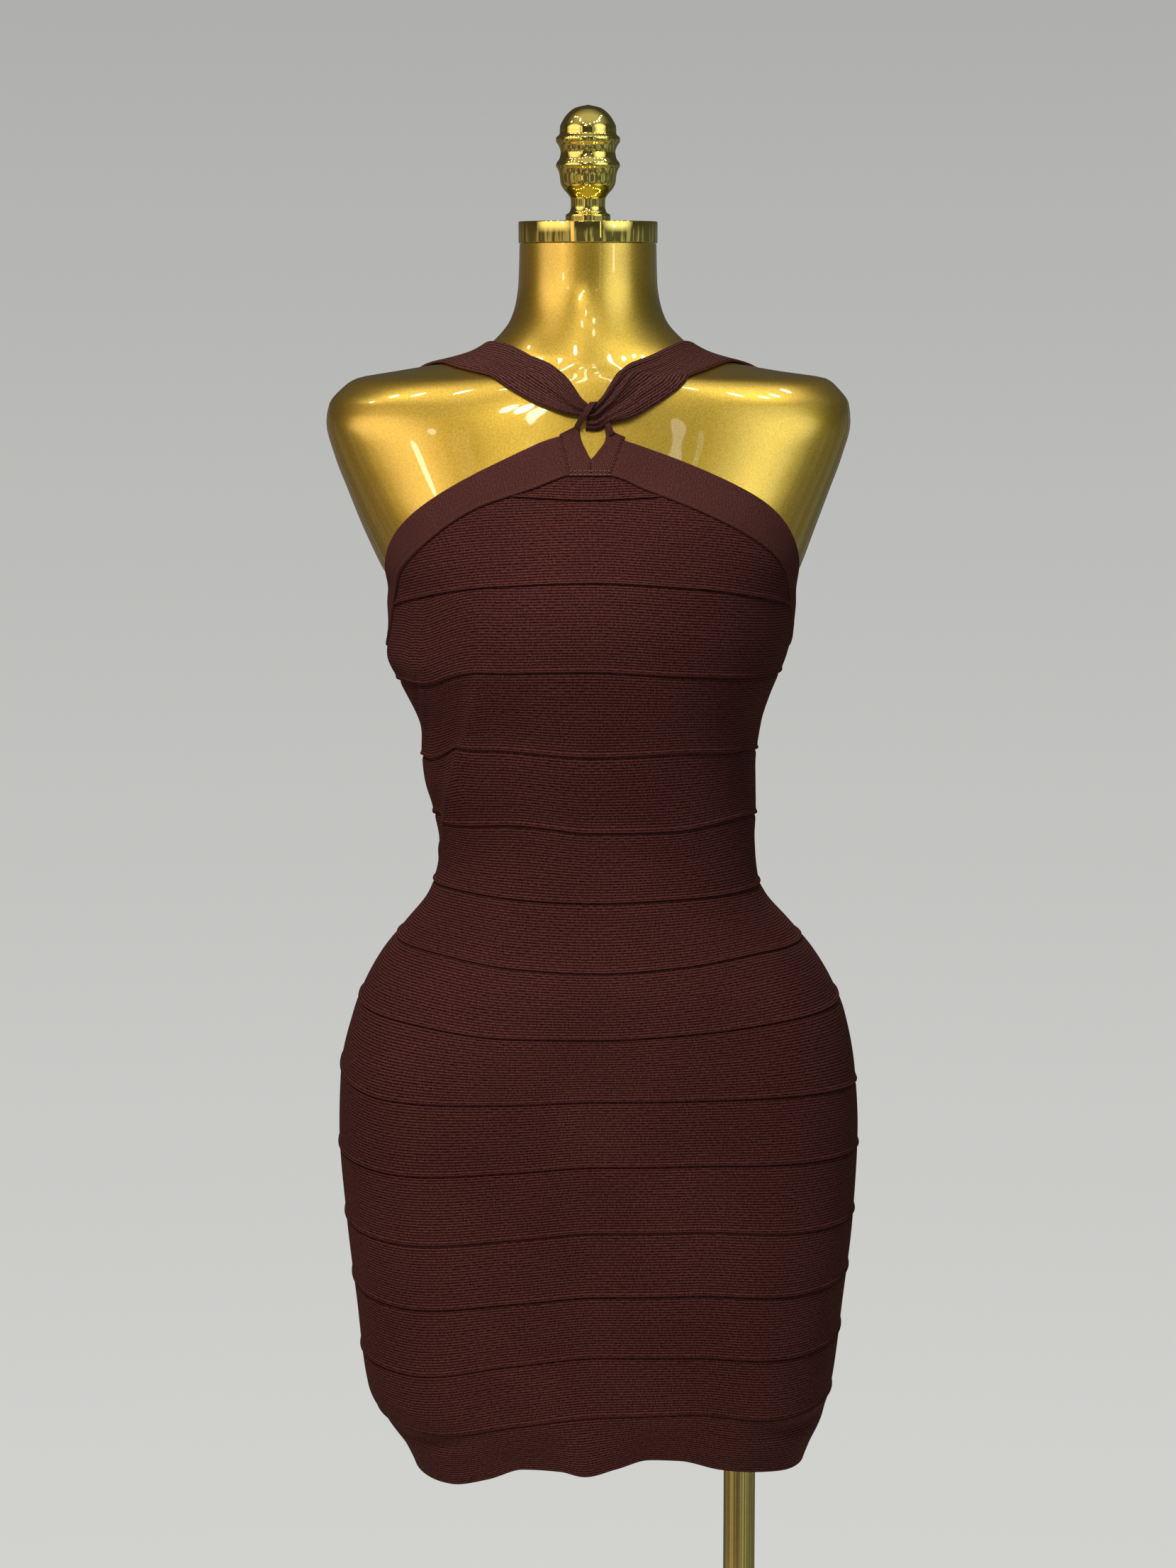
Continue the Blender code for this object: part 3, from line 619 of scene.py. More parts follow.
def add_rings(name, rings, material, sharp=0.6):
    """Closed body through rings of points, closed at both ends by a fan."""
    rings = np.asarray(rings)
    count, sides = rings.shape[:2]
    points = rings.reshape(-1, 3).tolist()
    faces = []
    for k in range(count - 1):
        for j in range(sides):
            m = (j + 1) % sides
            faces.append((k * sides + j, k * sides + m, (k + 1) * sides + m, (k + 1) * sides + j))
    for k in (0, count - 1):
        middle = len(points)
        points.append(rings[k].mean(axis=0).tolist())
        for j in range(sides):
            faces.append((k * sides + j, k * sides + (j + 1) % sides, middle))
    mesh = bpy.data.meshes.new(name)
    mesh.from_pydata(points, [], faces)
    mesh.polygons.foreach_set("use_smooth", np.ones(len(faces), dtype=bool))
    face_outwards(mesh)
    mesh.set_sharp_from_angle(angle=sharp)
    return new_object(name, mesh, material)


def add_turned(name, profile, centre_x, material, sides=128, sharp=0.6):
    """Body turned about an upright axis from (radius, height) rows."""
    turns = np.arange(sides) * math.tau / sides
    rings = [np.stack([centre_x + radius * np.cos(turns), radius * np.sin(turns),
                       np.full(sides, height)], -1) * MM for radius, height in profile]
    return add_rings(name, rings, material, sharp)


def rounded_rim(radius, bottom, top, bevel, steps=5):
    """Turned profile of a disc or tube with both rims rounded."""
    angles = np.linspace(0, math.pi / 2, steps)
    low = [(radius - bevel + bevel * math.sin(a), bottom + bevel - bevel * math.cos(a))
           for a in angles]
    high = [(radius - bevel + bevel * math.cos(a), top - bevel + bevel * math.sin(a))
            for a in angles]
    return low + high


# ---- nodes and shader maths ------------------------------------------------------------
def add_node(tree, kind, settings=None, sockets=None):
    """A node of this kind; settings come first, then the values or links of its sockets."""
    made = tree.nodes.new(kind)
    for key, value in (settings or {}).items():
        setattr(made, key, value)
    for key, value in (sockets or {}).items():
        if isinstance(value, Value):
            value = value.socket
        if isinstance(value, bpy.types.NodeSocket):
            tree.links.new(value, made.inputs[key])
        else:
            made.inputs[key].default_value = value
    return made


class Value:
    """A number that varies over a surface; sums and products of it add Math nodes."""

    def __init__(self, tree, socket):
        self.tree = tree
        self.socket = socket

    def work_out(self, operation, *terms):
        node = self.tree.nodes.new("ShaderNodeMath")
        node.operation = operation
        for socket, term in zip(node.inputs, terms):
            if isinstance(term, Value):
                self.tree.links.new(term.socket, socket)
            else:
                socket.default_value = term
        return Value(self.tree, node.outputs[0])

    def __add__(self, other):
        return self.work_out("ADD", self, other)

    def __radd__(self, other):
        return self.work_out("ADD", other, self)

    def __sub__(self, other):
        return self.work_out("SUBTRACT", self, other)

    def __rsub__(self, other):
        return self.work_out("SUBTRACT", other, self)

    def __mul__(self, other):
        return self.work_out("MULTIPLY", self, other)

    def __rmul__(self, other):
        return self.work_out("MULTIPLY", other, self)

    def __truediv__(self, other):
        return self.work_out("DIVIDE", self, other)

    def __pow__(self, other):
        return self.work_out("POWER", self, other)

    def cosine(self):
        return self.work_out("COSINE", self)

    def floor(self):
        return self.work_out("FLOOR", self)

    def limited(self):
        """The same value, kept between 0 and 1."""
        return self.work_out("MINIMUM", self.work_out("MAXIMUM", self, 0.0), 1.0)


class Finish:
    """A Principled material, with its nodes made by one method."""

    def __init__(self, name, colour, roughness, metallic=0.0, **constants):
        self.material = bpy.data.materials.new(name)
        self.material.use_nodes = True
        self.material.diffuse_color = (*colour, 1)
        self.tree = self.material.node_tree
        self.shader = self.tree.nodes["Principled BSDF"]
        self.shader.inputs["Base Color"].default_value = (*colour, 1)
        self.shader.inputs["Roughness"].default_value = roughness
        self.shader.inputs["Metallic"].default_value = metallic
        for socket, value in constants.items():
            self.shader.inputs[socket.replace("_", " ")].default_value = value

    def node(self, kind, settings=None, sockets=None):
        return add_node(self.tree, kind, settings, sockets)

    def value(self, socket):
        return Value(self.tree, socket)

    def feed(self, socket, value):
        """Let a value or a colour drive one of the shader's sockets."""
        source = value.socket if isinstance(value, Value) else value
        self.tree.links.new(source, self.shader.inputs[socket])

    def coordinates(self, kind):
        return self.node("ShaderNodeTexCoord").outputs[kind]

    def noise(self, vector, scale, detail=2.0, roughness=0.5):
        made = self.node("ShaderNodeTexNoise", None, {
            "Vector": vector, "Scale": scale, "Detail": detail, "Roughness": roughness})
        return self.value(made.outputs["Fac"])

    def blend(self, factor, first, second):
        """Colour between two others; each is three numbers or a socket."""
        made = self.node("ShaderNodeMix", {"data_type": "RGBA"}, {
            0: factor,
            6: (*first, 1) if isinstance(first, tuple) else first,
            7: (*second, 1) if isinstance(second, tuple) else second})
        return made.outputs[2]

    def bump(self, height, distance, strength=1.0, normal=None):
        sockets = {"Height": height, "Distance": distance, "Strength": strength}
        if normal is not None:
            sockets["Normal"] = normal
        return self.node("ShaderNodeBump", None, sockets).outputs["Normal"]


def make_knit(name, row, stitch, gap_shade_colour, yarn_colour, relief, depth=1.0):
    """Knitted cloth: courses `row` apart and stitches `stitch` apart, in metres, with painted
    shade in the gaps between courses.
    """
    finish = Finish(name, yarn_colour, 0.82, Specular_IOR_Level=0.10, Sheen_Weight=0.02,
                    Sheen_Roughness=0.5, Sheen_Tint=(0.8, 0.35, 0.30, 1))
    place = finish.node("ShaderNodeSeparateXYZ", None, {
        "Vector": finish.node("ShaderNodeUVMap", {"uv_map": "knit"}).outputs["UV"]})
    across = finish.value(place.outputs["X"])
    up = finish.value(place.outputs["Y"])
    course = up / row
    wale = across / stitch
    wave = (course * math.tau).cosine() * 0.5 + 0.5
    ridge = wave * wave * (3.0 - 2.0 * wave)
    loop = ((wale + course.floor() * 0.5) * math.tau).cosine() * 0.5 + 0.5
    grid = finish.node("ShaderNodeCombineXYZ", None, {"X": wale, "Y": course * 0.8})
    speckle = finish.noise(grid.outputs[0], 1.1, 2.0, 0.8)
    cloudy = finish.noise(finish.coordinates("Object"), 14.0, 3.0, 0.6)
    grain = (speckle * 4.6 - 1.9).limited()
    # painted shade: the gaps between courses take the dark gap colour and the ridge tops the yarn
    # colour
    lit = (ridge * (0.40 + 0.45 * grain + 0.15 * loop) * depth
           + 0.35 * grain * (1 - ridge * depth)).limited()
    shade = finish.blend(lit, gap_shade_colour, yarn_colour)
    tint = finish.node("ShaderNodeMix", {"data_type": "RGBA", "blend_type": "MULTIPLY"}, {
        0: 1.0, 6: shade,
        7: finish.blend((cloudy * 1.8 - 0.4).limited(), (0.86, 0.82, 0.84), (1.12, 1.10, 1.12))})
    finish.feed("Base Color", tint.outputs[2])
    finish.feed("Roughness", 0.90 - 0.12 * lit)
    finish.feed("Normal", finish.bump(ridge * (0.7 + 0.3 * loop) + grain * 0.35, relief))
    return finish.material


def make_gold_paint():
    """Gold metallic paint under a clear coat, with fine flakes."""
    finish = Finish("gold_metallic_paint", (0.80, 0.50, 0.05), 0.34, 0.95,
                    Coat_Roughness=0.03, Coat_IOR=1.5)
    place = finish.coordinates("Object")
    flakes = finish.noise(place, 900.0, 2.0, 0.7)
    clouds = finish.noise(place, 18.0, 3.0, 0.55)
    tone = finish.blend((flakes * 2.4 - 0.7).limited(), (0.66, 0.41, 0.045), (0.90, 0.62, 0.100))
    finish.feed("Base Color", tone)
    finish.feed("Roughness", 0.27 + 0.08 * clouds + 0.05 * flakes)
    finish.feed("Coat Weight", (0.90 + 0.3 * clouds).limited())
    finish.feed("Normal", finish.bump(flakes, 0.00004, 0.5))
    return finish.material


def make_gold_plate(name, roughness, colour):
    """Polished plated brass with faint wipe marks."""
    finish = Finish(name, colour, roughness, 1.0)
    place = finish.coordinates("Object")
    smear = finish.noise(place, 60.0, 3.0, 0.6)
    deep = tuple(c * 0.88 for c in colour)
    finish.feed("Base Color", finish.blend(smear, deep, colour))
    finish.feed("Roughness", roughness * 0.7 + roughness * 0.6 * smear)
    finish.feed("Normal", finish.bump(finish.noise(place, 300.0, 2.0, 0.5), 0.00001, 0.4))
    return finish.material


# The gap colours are painted shade in the hollows between knit courses; the yarn colours are the
# knit's own maroon.
KNIT_GAP_SHADE = (0.012, 0.0012, 0.0012)
KNIT_YARN = (0.232, 0.076, 0.068)
BAND_GAP_SHADE = (0.052, 0.013, 0.012)
BAND_YARN = (0.275, 0.110, 0.096)
strip_knit = make_knit("maroon_bandage_knit", 0.00185, 0.0014, KNIT_GAP_SHADE, KNIT_YARN, 0.00035)
band_knit = make_knit("maroon_band_knit", 0.0010, 0.0009, BAND_GAP_SHADE, BAND_YARN, 0.00018, 0.8)
strap_knit = make_knit("maroon_strap_knit", 0.0017, 0.0012, KNIT_GAP_SHADE, BAND_YARN, 0.00035, 0.95)
gold_paint = make_gold_paint()
gold_mirror = make_gold_plate("gold_plated_mirror", 0.035, (0.86, 0.70, 0.20))
gold_tube = make_gold_plate("gold_plated_tube", 0.12, (0.80, 0.62, 0.22))


# ---- placing on the frame --------------------------------------------------------------
def settle(piece, slot, *nodes):
    """A finished piece rides on the object's one body and stands for its CAD nodes."""
    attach(piece, "root")
    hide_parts(*(nodes or (piece.name.replace("_finish", ""),)))


def knit_places(outer, even_rows):
    """(u, v) in metres: round the body, and up from the lower edge along the cloth."""
    around = np.linalg.norm(np.diff(outer, axis=1), axis=2).mean(axis=0)
    u = np.concatenate(([0], np.cumsum(around)))
    rise = np.linalg.norm(np.diff(outer, axis=0), axis=2)
    v = np.concatenate((np.zeros((1, outer.shape[1])), np.cumsum(rise, axis=0)))
    if even_rows:
        v = v / np.maximum(v[-1:], 1e-6) * v[-1].mean()
    return np.stack([np.broadcast_to(u, v.shape), v], -1)


def panel_rows(bottom, top):
    """Heights of a panel's rows at each column, closer together at both edges."""
    tall = np.maximum(top - bottom, 0.2)
    room = np.minimum(1.0, tall / (EDGE_ROWS_BELOW[-1] + EDGE_ROWS_ABOVE[0] + 2))
    low = [bottom + d * room for d in EDGE_ROWS_BELOW]
    high = [top - d * room for d in EDGE_ROWS_ABOVE]
    middle = max(int((float(np.max(tall)) - 12) / ROW_SPACING), 2)
    between = [low[-1] + (high[0] - low[-1]) * k / (middle + 1) for k in range(1, middle + 1)]
    return np.array(low + between + high)


def panel_grids(turns, bottom, top, wall, edges, relief):
    """Outer and inner grid of a panel, with its edge profile and creases."""
    turns = np.asarray(turns, float)
    heights = panel_rows(bottom, top)
    turn = np.broadcast_to(turns, heights.shape)
    proud, under = edge_profile(*edges, heights - heights[0], heights[-1] - heights)
    shape = np.maximum(relief(turn, heights), deepest(turn, heights))
    return (round_points(turn, heights, shape + wall + proud),
            round_points(turn, heights, shape + under))


def deepest(turn, height):
    """How far a crease may sink before the cloth would touch the form."""
    left, right, front, back = (curve(height) for curve in EASE_CURVES)
    across, ahead = np.sin(np.radians(turn)), np.cos(np.radians(turn))
    ease = (across ** 2 * np.where(across < 0, left, right)
            + ahead ** 2 * np.where(ahead > 0, front, back))
    return np.where(np.asarray(height) > FORM_BOTTOM, LEAST_EASE - ease, -6.0)


def body_relief(turn, height):
    """Creases over the whole dress."""
    return crease_relief(turn, height)


def last_strip_relief(turn, height):
    """Creases and the swing of the hem."""
    return crease_relief(turn, height) + hem_relief(turn, height)


# ---- dress form and stand --------------------------------------------------------------
def make_form():
    """The limbless torso, smooth all round, with a rounded flat bottom."""
    turns = np.arange(-180, 180, 2.0)
    rim = np.linspace(0, math.pi / 2, 8)
    rings = []
    rim_top = FORM_BOTTOM + FORM_RIM_HEIGHT
    base = round_points(turns, np.full(turns.shape, rim_top))
    middle = base.mean(axis=0)
    for a in rim[:-1]:
        inset = 1 - ((1 - math.sin(a)) * FORM_RIM_INSET * MM
                     / np.linalg.norm(base - middle, axis=1))
        ring = middle + (base - middle) * inset[:, None]
        ring[:, 2] = (FORM_BOTTOM + FORM_RIM_HEIGHT * (1 - math.cos(a))) * MM
        rings.append(ring)
    low, high = SHOULDER_HEIGHTS
    heights = np.concatenate([np.arange(rim_top, low, 5.0), np.arange(low, high, 1.5),
                              np.arange(high, FORM_TOP, 4.0), [FORM_TOP - 1.0, FORM_TOP]])
    rings += [round_points(turns, np.full(turns.shape, height)) for height in heights]
    return add_rings("dress_form", rings, gold_paint)


def make_stand():
    """Neck plate, finial, pole with its socket and collar, and base plate."""
    plate_bottom = FORM_TOP + SEAM
    plate = rounded_rim(NECK_PLATE_RADIUS, plate_bottom, NECK_PLATE_TOP, 0.7)
    settle(add_turned("neck_plate_finish", plate, 0, gold_mirror), "gold_plated")

    heights, radii = (np.array(column, float) for column in zip(*FINIAL))
    run = np.concatenate(([0], np.cumsum(np.hypot(np.diff(heights), np.diff(radii)))))
    where = np.linspace(0, run[-1], 150)
    finial = list(zip(np.maximum(curve_through(run, radii)(where), 0.15),
                      curve_through(run, heights)(where)))
    settle(add_turned("finial_finish", finial, 0, gold_mirror, sharp=0.9), "gold_plated")

    base = rounded_rim(BASE_RADIUS, 0, BASE_THICKNESS, 1.5)
    settle(add_turned("base_plate_finish", base, 0, gold_mirror, sides=192), "gold_plated")
    collar_bottom = BASE_THICKNESS + SEAM
    collar_top = BASE_THICKNESS + COLLAR_HEIGHT
    across, up = COLLAR_RADIUS - COLLAR_ROUNDING, collar_top - COLLAR_ROUNDING
    collar = [(COLLAR_RADIUS, collar_bottom), (COLLAR_RADIUS, up - 0.2)]
    collar += [(across + COLLAR_ROUNDING * math.cos(a), up + COLLAR_ROUNDING * math.sin(a))
               for a in np.linspace(0, math.pi / 2, 8)]
    settle(add_turned("pole_collar_finish", collar, POLE_X, gold_mirror), "gold_plated")

    pole_bottom = collar_top + SEAM
    socket_bottom = FORM_BOTTOM - SEAM - SOCKET_HEIGHT
    pole = [(POLE_RADIUS, z) for z in np.linspace(pole_bottom, socket_bottom - SEAM, 30)]
    settle(add_turned("pole_finish", pole, POLE_X, gold_tube), "gold_plated")
    across, up = SOCKET_RADIUS - SOCKET_ROUNDING, socket_bottom + SOCKET_ROUNDING
    socket = [(across + SOCKET_ROUNDING * math.sin(a), up - SOCKET_ROUNDING * math.cos(a))
              for a in np.linspace(0, math.pi / 2, 7)]
    socket.append((SOCKET_RADIUS, socket_bottom + SOCKET_HEIGHT))
    settle(add_turned("pole_socket_finish", socket, POLE_X, gold_paint), "gold_paint")


# ---- dress -----------------------------------------------------------------------------
def meeting_turn(index, sign):
    """Turn at which the neckline band's lower edge comes down to a seam."""
    turns = sign * np.arange(0.5, 90, 0.1)
    gap = neckline_height(turns, False) - seam_height(index, turns)
    return float(turns[np.argmax(gap < 1.0)])


def make_strips():
    """Front and back strips, from the keyhole tab to the hem."""
    for index in range(STRIPS):
        relief = last_strip_relief if index == STRIPS - 1 else body_relief
        edges = (HEM_LIP if index == STRIPS - 1 else LIP, TUCK)
        spans = [("front", -SIDE_TURN, SIDE_TURN)]
        if index < 2:
            spans = [("front", meeting_turn(index, -1), meeting_turn(index, 1))]
        if index > 1:
            spans.append(("back", 180 - SIDE_TURN, 180 + SIDE_TURN))
        for face, start, stop in spans:
            turns = np.linspace(start, stop, int((stop - start) / COLUMN_TURN) + 2)
            if face == "front" and index in FOLDED_STRIPS:
                fine = np.arange(FOLD_TURNS[0], FOLD_TURNS[1], FOLD_COLUMN_TURN)
                plain = turns[(turns < fine[0] - 0.2) | (turns > fine[-1] + 0.2)]
                turns = np.sort(np.concatenate([plain, fine]))
            bottom = seam_height(index, turns)
            band = neckline_height(turns, False)
            above = seam_height(index - 1, turns) if index else band
            top = LAP + np.where(abs(signed(turns)) > 90, band if index == 2 else above,
                                 np.minimum(above, band))
            outer, inner = panel_grids(turns, bottom, top, WALL, edges, relief)
            name = f"{face}_strip_{index + 1:02d}"
            piece = add_shell(name + "_finish", outer, inner, knit_places(outer, index > 2),
                              strip_knit)
            settle(piece, "maroon_knit", name)


def band_lines(turn, above_edge):
    """Fine raised lines along the neckline band."""
    total = np.zeros(np.broadcast(turn, above_edge).shape)
    for first, last, distance, width, rise in BAND_LINES:
        fade = smooth_step(turn, first, first + 8) * (1 - smooth_step(turn, last - 8, last))
        total += rise * fade * bell(above_edge - distance, width)
    return total


def make_bands():
    """Neckline band from each side seam to the keyhole tab, and its level run at the back."""
    for name, sign in (("neck_band_left", -1), ("neck_band_right", 1)):
        tab_bottom = TAB_OUTLINE[sign][0][1]
        start = turn_at(tab_edge(sign, tab_bottom) + sign * HAIRLINE, tab_bottom, 0)
        far = sign * SIDE_TURN
        turns = np.linspace(start, far, BAND_COLUMNS)
        low = neckline_height(turns, False)
        high = neckline_height(turns, True)
        heights = panel_rows(low, high)
        part = (heights - heights[0]) / (heights[-1] - heights[0])
        share = np.linspace(0, 1, len(turns))[None, :]
        faces = []
        for off in (BAND_WALL, 0):
            # the end at the tab follows the tab's slanting side
            level = heights[:, 0]
            for _ in range(4):
                ends = turn_at(tab_edge(sign, level) + sign * HAIRLINE, level, off)
                low, high = neckline_height(ends, False), neckline_height(ends, True)
                level = low + (high - low) * part[:, 0]
            turn = ends[:, None] + (far - ends[:, None]) * share
            low = neckline_height(turn, False)
            high = neckline_height(turn, True)
            level = low + (high - low) * part
            proud, under = edge_profile(BAND_LIP, BAND_TOP, level - low, high - level)
            rise = proud + band_lines(turn, level - low) if off else under
            faces.append(round_points(turn, level, off + rise))
        outer, inner = faces
        places = knit_places(outer, True)[..., ::-1]
        piece = add_shell(name + "_finish", outer, inner, places, band_knit)
        settle(piece, "maroon_knit", name)
    turns = np.linspace(180 - SIDE_TURN, 180 + SIDE_TURN, BACK_BAND_COLUMNS)
    low = neckline_height(turns, False)
    high = neckline_height(turns, True)
    outer, inner = panel_grids(turns, low, high, BAND_WALL, (BAND_LIP, BAND_TOP),
                               lambda turn, height: band_lines(turn, height - low))
    piece = add_shell("back_band_finish", outer, inner, knit_places(outer, True)[..., ::-1],
                      band_knit)
    settle(piece, "maroon_knit", "back_band")


def make_keyhole_tab(loop):
    """Two halves of the tab, with the slit and the teardrop opening between them."""
    heights, lefts, rights = (np.array(column) for column in zip(*KEYHOLE))
    left_edge, right_edge = curve_through(heights, lefts), curve_through(heights, rights)
    tall = heights[-1] - heights[0]
    rows = np.concatenate([[0, 0.3, 0.6, 1.0], np.linspace(1.6, tall - 0.6, 44),
                           [tall - 0.3, tall]]) + heights[0]
    for name, side in (("keyhole_tab_left", -1), ("keyhole_tab_right", 1)):
        start = tab_edge(side, rows)
        stop = left_edge(rows) if side < 0 else right_edge(rows)
        share = np.concatenate([[0, 0.02, 0.05], np.linspace(0.1, 0.9, 14), [0.95, 0.98, 1]])
        x = start[:, None] + (stop - start)[:, None] * share
        height = np.broadcast_to(rows[:, None], x.shape)
        from_slit = np.abs(x - stop[:, None])
        from_top = rows[-1] - height
        from_bottom = height - rows[0]
        # rounded edges, a raised rim along the slit, and a lip and a groove near the bottom
        raised = (-0.6 * bell(from_slit, 0.45) + 0.25 * bell(from_slit - 1.6, 1.0)
                  - 0.5 * bell(from_top, 0.4)
                  - 0.35 * bell(from_bottom - 2.4, 0.5) + 0.25 * bell(from_bottom - 0.9, 0.6))
        outer = front_points(x, height, BAND_WALL + raised)
        inner = front_points(x, height, LAP_GAP * (1 - smooth_step(from_bottom, 1.4, 5)))
        places = knit_places(outer, False)[..., ::-1]
        piece = add_shell(name + "_finish", outer, inner, places, band_knit)
        settle(piece, "maroon_knit", name)


def make_loop():
    """The loop: a narrow tape of three cords, bent round the straps where they meet."""
    steps = np.arange(len(LOOP_ROUTE))
    where = np.linspace(0, len(LOOP_ROUTE) - 1, LOOP_ROWS)
    x, height, off = (curve_through(steps, column)(where) for column in zip(*LOOP_ROUTE))
    points = front_points(x, height, off)
    for _ in range(6):
        points[1:-1] = (points[:-2] + 2 * points[1:-1] + points[2:]) / 4
    lean = np.radians(np.linspace(*LOOP_LEAN, LOOP_ROWS))
    across = np.stack([np.cos(lean), np.zeros(LOOP_ROWS), np.sin(lean)], -1)
    along = np.gradient(points, axis=0)
    normal = np.cross(along, across)
    normal /= np.linalg.norm(normal, axis=1)[:, None]
    share = np.linspace(-1, 1, LOOP_COLUMNS)
    cords = CORD_RISE * np.abs(np.cos(share * math.pi * LOOP_CORDS / 2)) ** 0.7
    side = across[:, None, :] * (share[None, :, None] * LOOP_WIDTH / 2 * MM)
    rise = normal[:, None, :] * ((LOOP_WALL / 2 - 0.2 + cords)[None, :, None] * MM)
    outer = points[:, None, :] + side + rise
    inner = points[:, None, :] + side - rise
    piece = add_shell("keyhole_loop_finish", outer, inner, knit_places(outer, False)[..., ::-1],
                      band_knit)
    settle(piece, "maroon_knit", "keyhole_loop")
    return piece


def make_straps(form):
    """Each strap lies on the form from the loop, over the shoulder, to the back band."""
    data = bmesh.new()
    data.from_mesh(form.data)
    skin = BVHTree.FromBMesh(data)
    mirrored = [(-a, b, c, -d, e, f, g) for a, b, c, d, e, f, g in BACK_STRAP]
    for name, guides in (("strap_left", LEFT_STRAP + BACK_STRAP),
                         ("strap_right", RIGHT_STRAP + mirrored)):
        steps = np.arange(len(guides))
        where = np.linspace(0, len(guides) - 1, STRAP_ROWS)
        columns = [curve_through(steps, column)(where) for column in zip(*guides)]
        edge = np.stack(columns[0:3], -1) * MM
        other = np.stack(columns[3:6], -1) * MM
        off = columns[6]
        share = np.linspace(0, 1, STRAP_COLUMNS)
        reach = where / (len(guides) - 1)
        places = np.empty((STRAP_ROWS, STRAP_COLUMNS, 3))
        normals = np.empty_like(places)
        for k in range(STRAP_ROWS):
            for j in range(STRAP_COLUMNS):
                spot = edge[k] * (1 - share[j]) + other[k] * share[j]
                place, normal, _, _ = skin.find_nearest(Vector(spot))
                places[k, j], normals[k, j] = place, normal
        for _ in range(4):
            normals[1:-1] = (normals[:-2] + 2 * normals[1:-1] + normals[2:]) / 4
            normals /= np.linalg.norm(normals, axis=2)[..., None]
        relief = np.zeros((STRAP_ROWS, STRAP_COLUMNS))
        for line, width, rise in STRAP_FOLDS[name]:
            centre = curve_through(STRAP_REACH, line)(reach)
            fade = 1 - smooth_step(reach, STRAP_FOLD_END * 0.35, STRAP_FOLD_END)
            relief += (rise * fade)[:, None] * bell(share[None, :] - centre[:, None], width)
        rim = -0.5 * (bell(share, 0.02) + bell(share - 1, 0.02))
        low = np.maximum(off[:, None] + relief, 0.45)
        inner = places + normals * (low * MM)[..., None]
        outer = places + normals * ((low + STRAP_WALL + rim[None, :]) * MM)[..., None]
        places_of_knit = knit_places(outer, True)[..., ::-1]
        piece = add_shell(name + "_finish", outer, inner, places_of_knit, strap_knit)
        settle(piece, "maroon_knit", name)
    data.free()


# ---- stitches --------------------------------------------------------------------------
def stitch_tree(thread):
    """Geometry nodes that lay stitches of one thread along every edge line of a mesh."""
    tree = bpy.data.node_groups.new("run_of_stitches", "GeometryNodeTree")
    tree.interface.new_socket("Line", in_out="INPUT", socket_type="NodeSocketGeometry")
    for label, value in (("Pitch", 0.0015), ("Stitch length", 0.0010),
                         ("Thread radius", 0.0002)):
        tree.interface.new_socket(label, in_out="INPUT",
                                  socket_type="NodeSocketFloat").default_value = value
    tree.interface.new_socket("Stitches", in_out="OUTPUT", socket_type="NodeSocketGeometry")

    def node(kind, settings=None, sockets=None):
        return add_node(tree, kind, settings, sockets)

    given = node("NodeGroupInput").outputs
    line = node("GeometryNodeMeshToCurve", None, {"Mesh": given["Line"]})
    spaced = node("GeometryNodeResampleCurve", {"mode": "LENGTH"}, {
        "Curve": line.outputs[0], "Length": given["Pitch"]})
    bead = node("GeometryNodeMeshUVSphere", None, {"Segments": 8, "Rings": 5, "Radius": 1.0})
    turned = node("FunctionNodeAlignRotationToVector", {"axis": "X"}, {
        "Vector": node("GeometryNodeInputTangent").outputs[0]})
    half = node("ShaderNodeMath", {"operation": "MULTIPLY"}, {0: given["Stitch length"], 1: 0.5})
    size = node("ShaderNodeCombineXYZ", None, {
        "X": half.outputs[0], "Y": given["Thread radius"], "Z": given["Thread radius"]})
    placed = node("GeometryNodeInstanceOnPoints", None, {
        "Points": spaced.outputs[0], "Instance": bead.outputs[0],
        "Rotation": turned.outputs[0], "Scale": size.outputs[0]})
    real = node("GeometryNodeRealizeInstances", None, {"Geometry": placed.outputs[0]})
    finished = node("GeometryNodeSetMaterial", None, {
        "Geometry": real.outputs[0], "Material": thread})
    node("NodeGroupOutput", None, {"Stitches": finished.outputs[0]})
    return tree


def add_stitches(name, lines, tree, sizes, material):
    """Stitches along lines of points, as one plain mesh."""
    points, edges = [], []
    for line in lines:
        start = len(points)
        points += [tuple(point) for point in line]
        edges += [(start + k, start + k + 1) for k in range(len(line) - 1)]
    mesh = bpy.data.meshes.new(name + "_line")
    mesh.from_pydata(points, edges, [])
    guide = bpy.data.objects.new(name + "_line", mesh)
    bpy.context.scene.collection.objects.link(guide)
    modifier = guide.modifiers.new("stitches", "NODES")
    modifier.node_group = tree
    for socket in tree.interface.items_tree:
        if socket.in_out == "INPUT" and socket.name in sizes:
            modifier[socket.identifier] = sizes[socket.name]
    graph = bpy.context.evaluated_depsgraph_get()
    made = bpy.data.meshes.new_from_object(guide.evaluated_get(graph))
    bpy.data.objects.remove(guide, do_unlink=True)
    made.name = name
    made.materials.clear()
    made.polygons.foreach_set("use_smooth", np.ones(len(made.polygons), dtype=bool))
    face_outwards(made)
    return new_object(name, made, material)


def make_thread(name, deep, lit):
    """Sewing thread, slightly uneven in colour."""
    thread = Finish(name, lit, 0.7, Specular_IOR_Level=0.2)
    place = thread.coordinates("Object")
    thread.feed("Base Color", thread.blend(thread.noise(place, 900.0), deep, lit))
    return thread.material


# Stitches down the tab's sides: side, top of the row, distance in from the edge.
SIDE_STITCHES = [(-1, 1364.5, 0.9), (1, 1362.5, 0.9), (1, 1362.5, 2.1)]
SIDE_STITCHES_BOTTOM = 1341.5
# Stitches along the tab's lower edge, on both sides of the slit: distance above the edge, x of
# both ends.
LOWER_STITCHES = [(0.9, -11.0, 1.2), (0.9, 2.6, 13.8), (3.1, -11.0, 1.2), (3.1, 2.6, 13.8)]


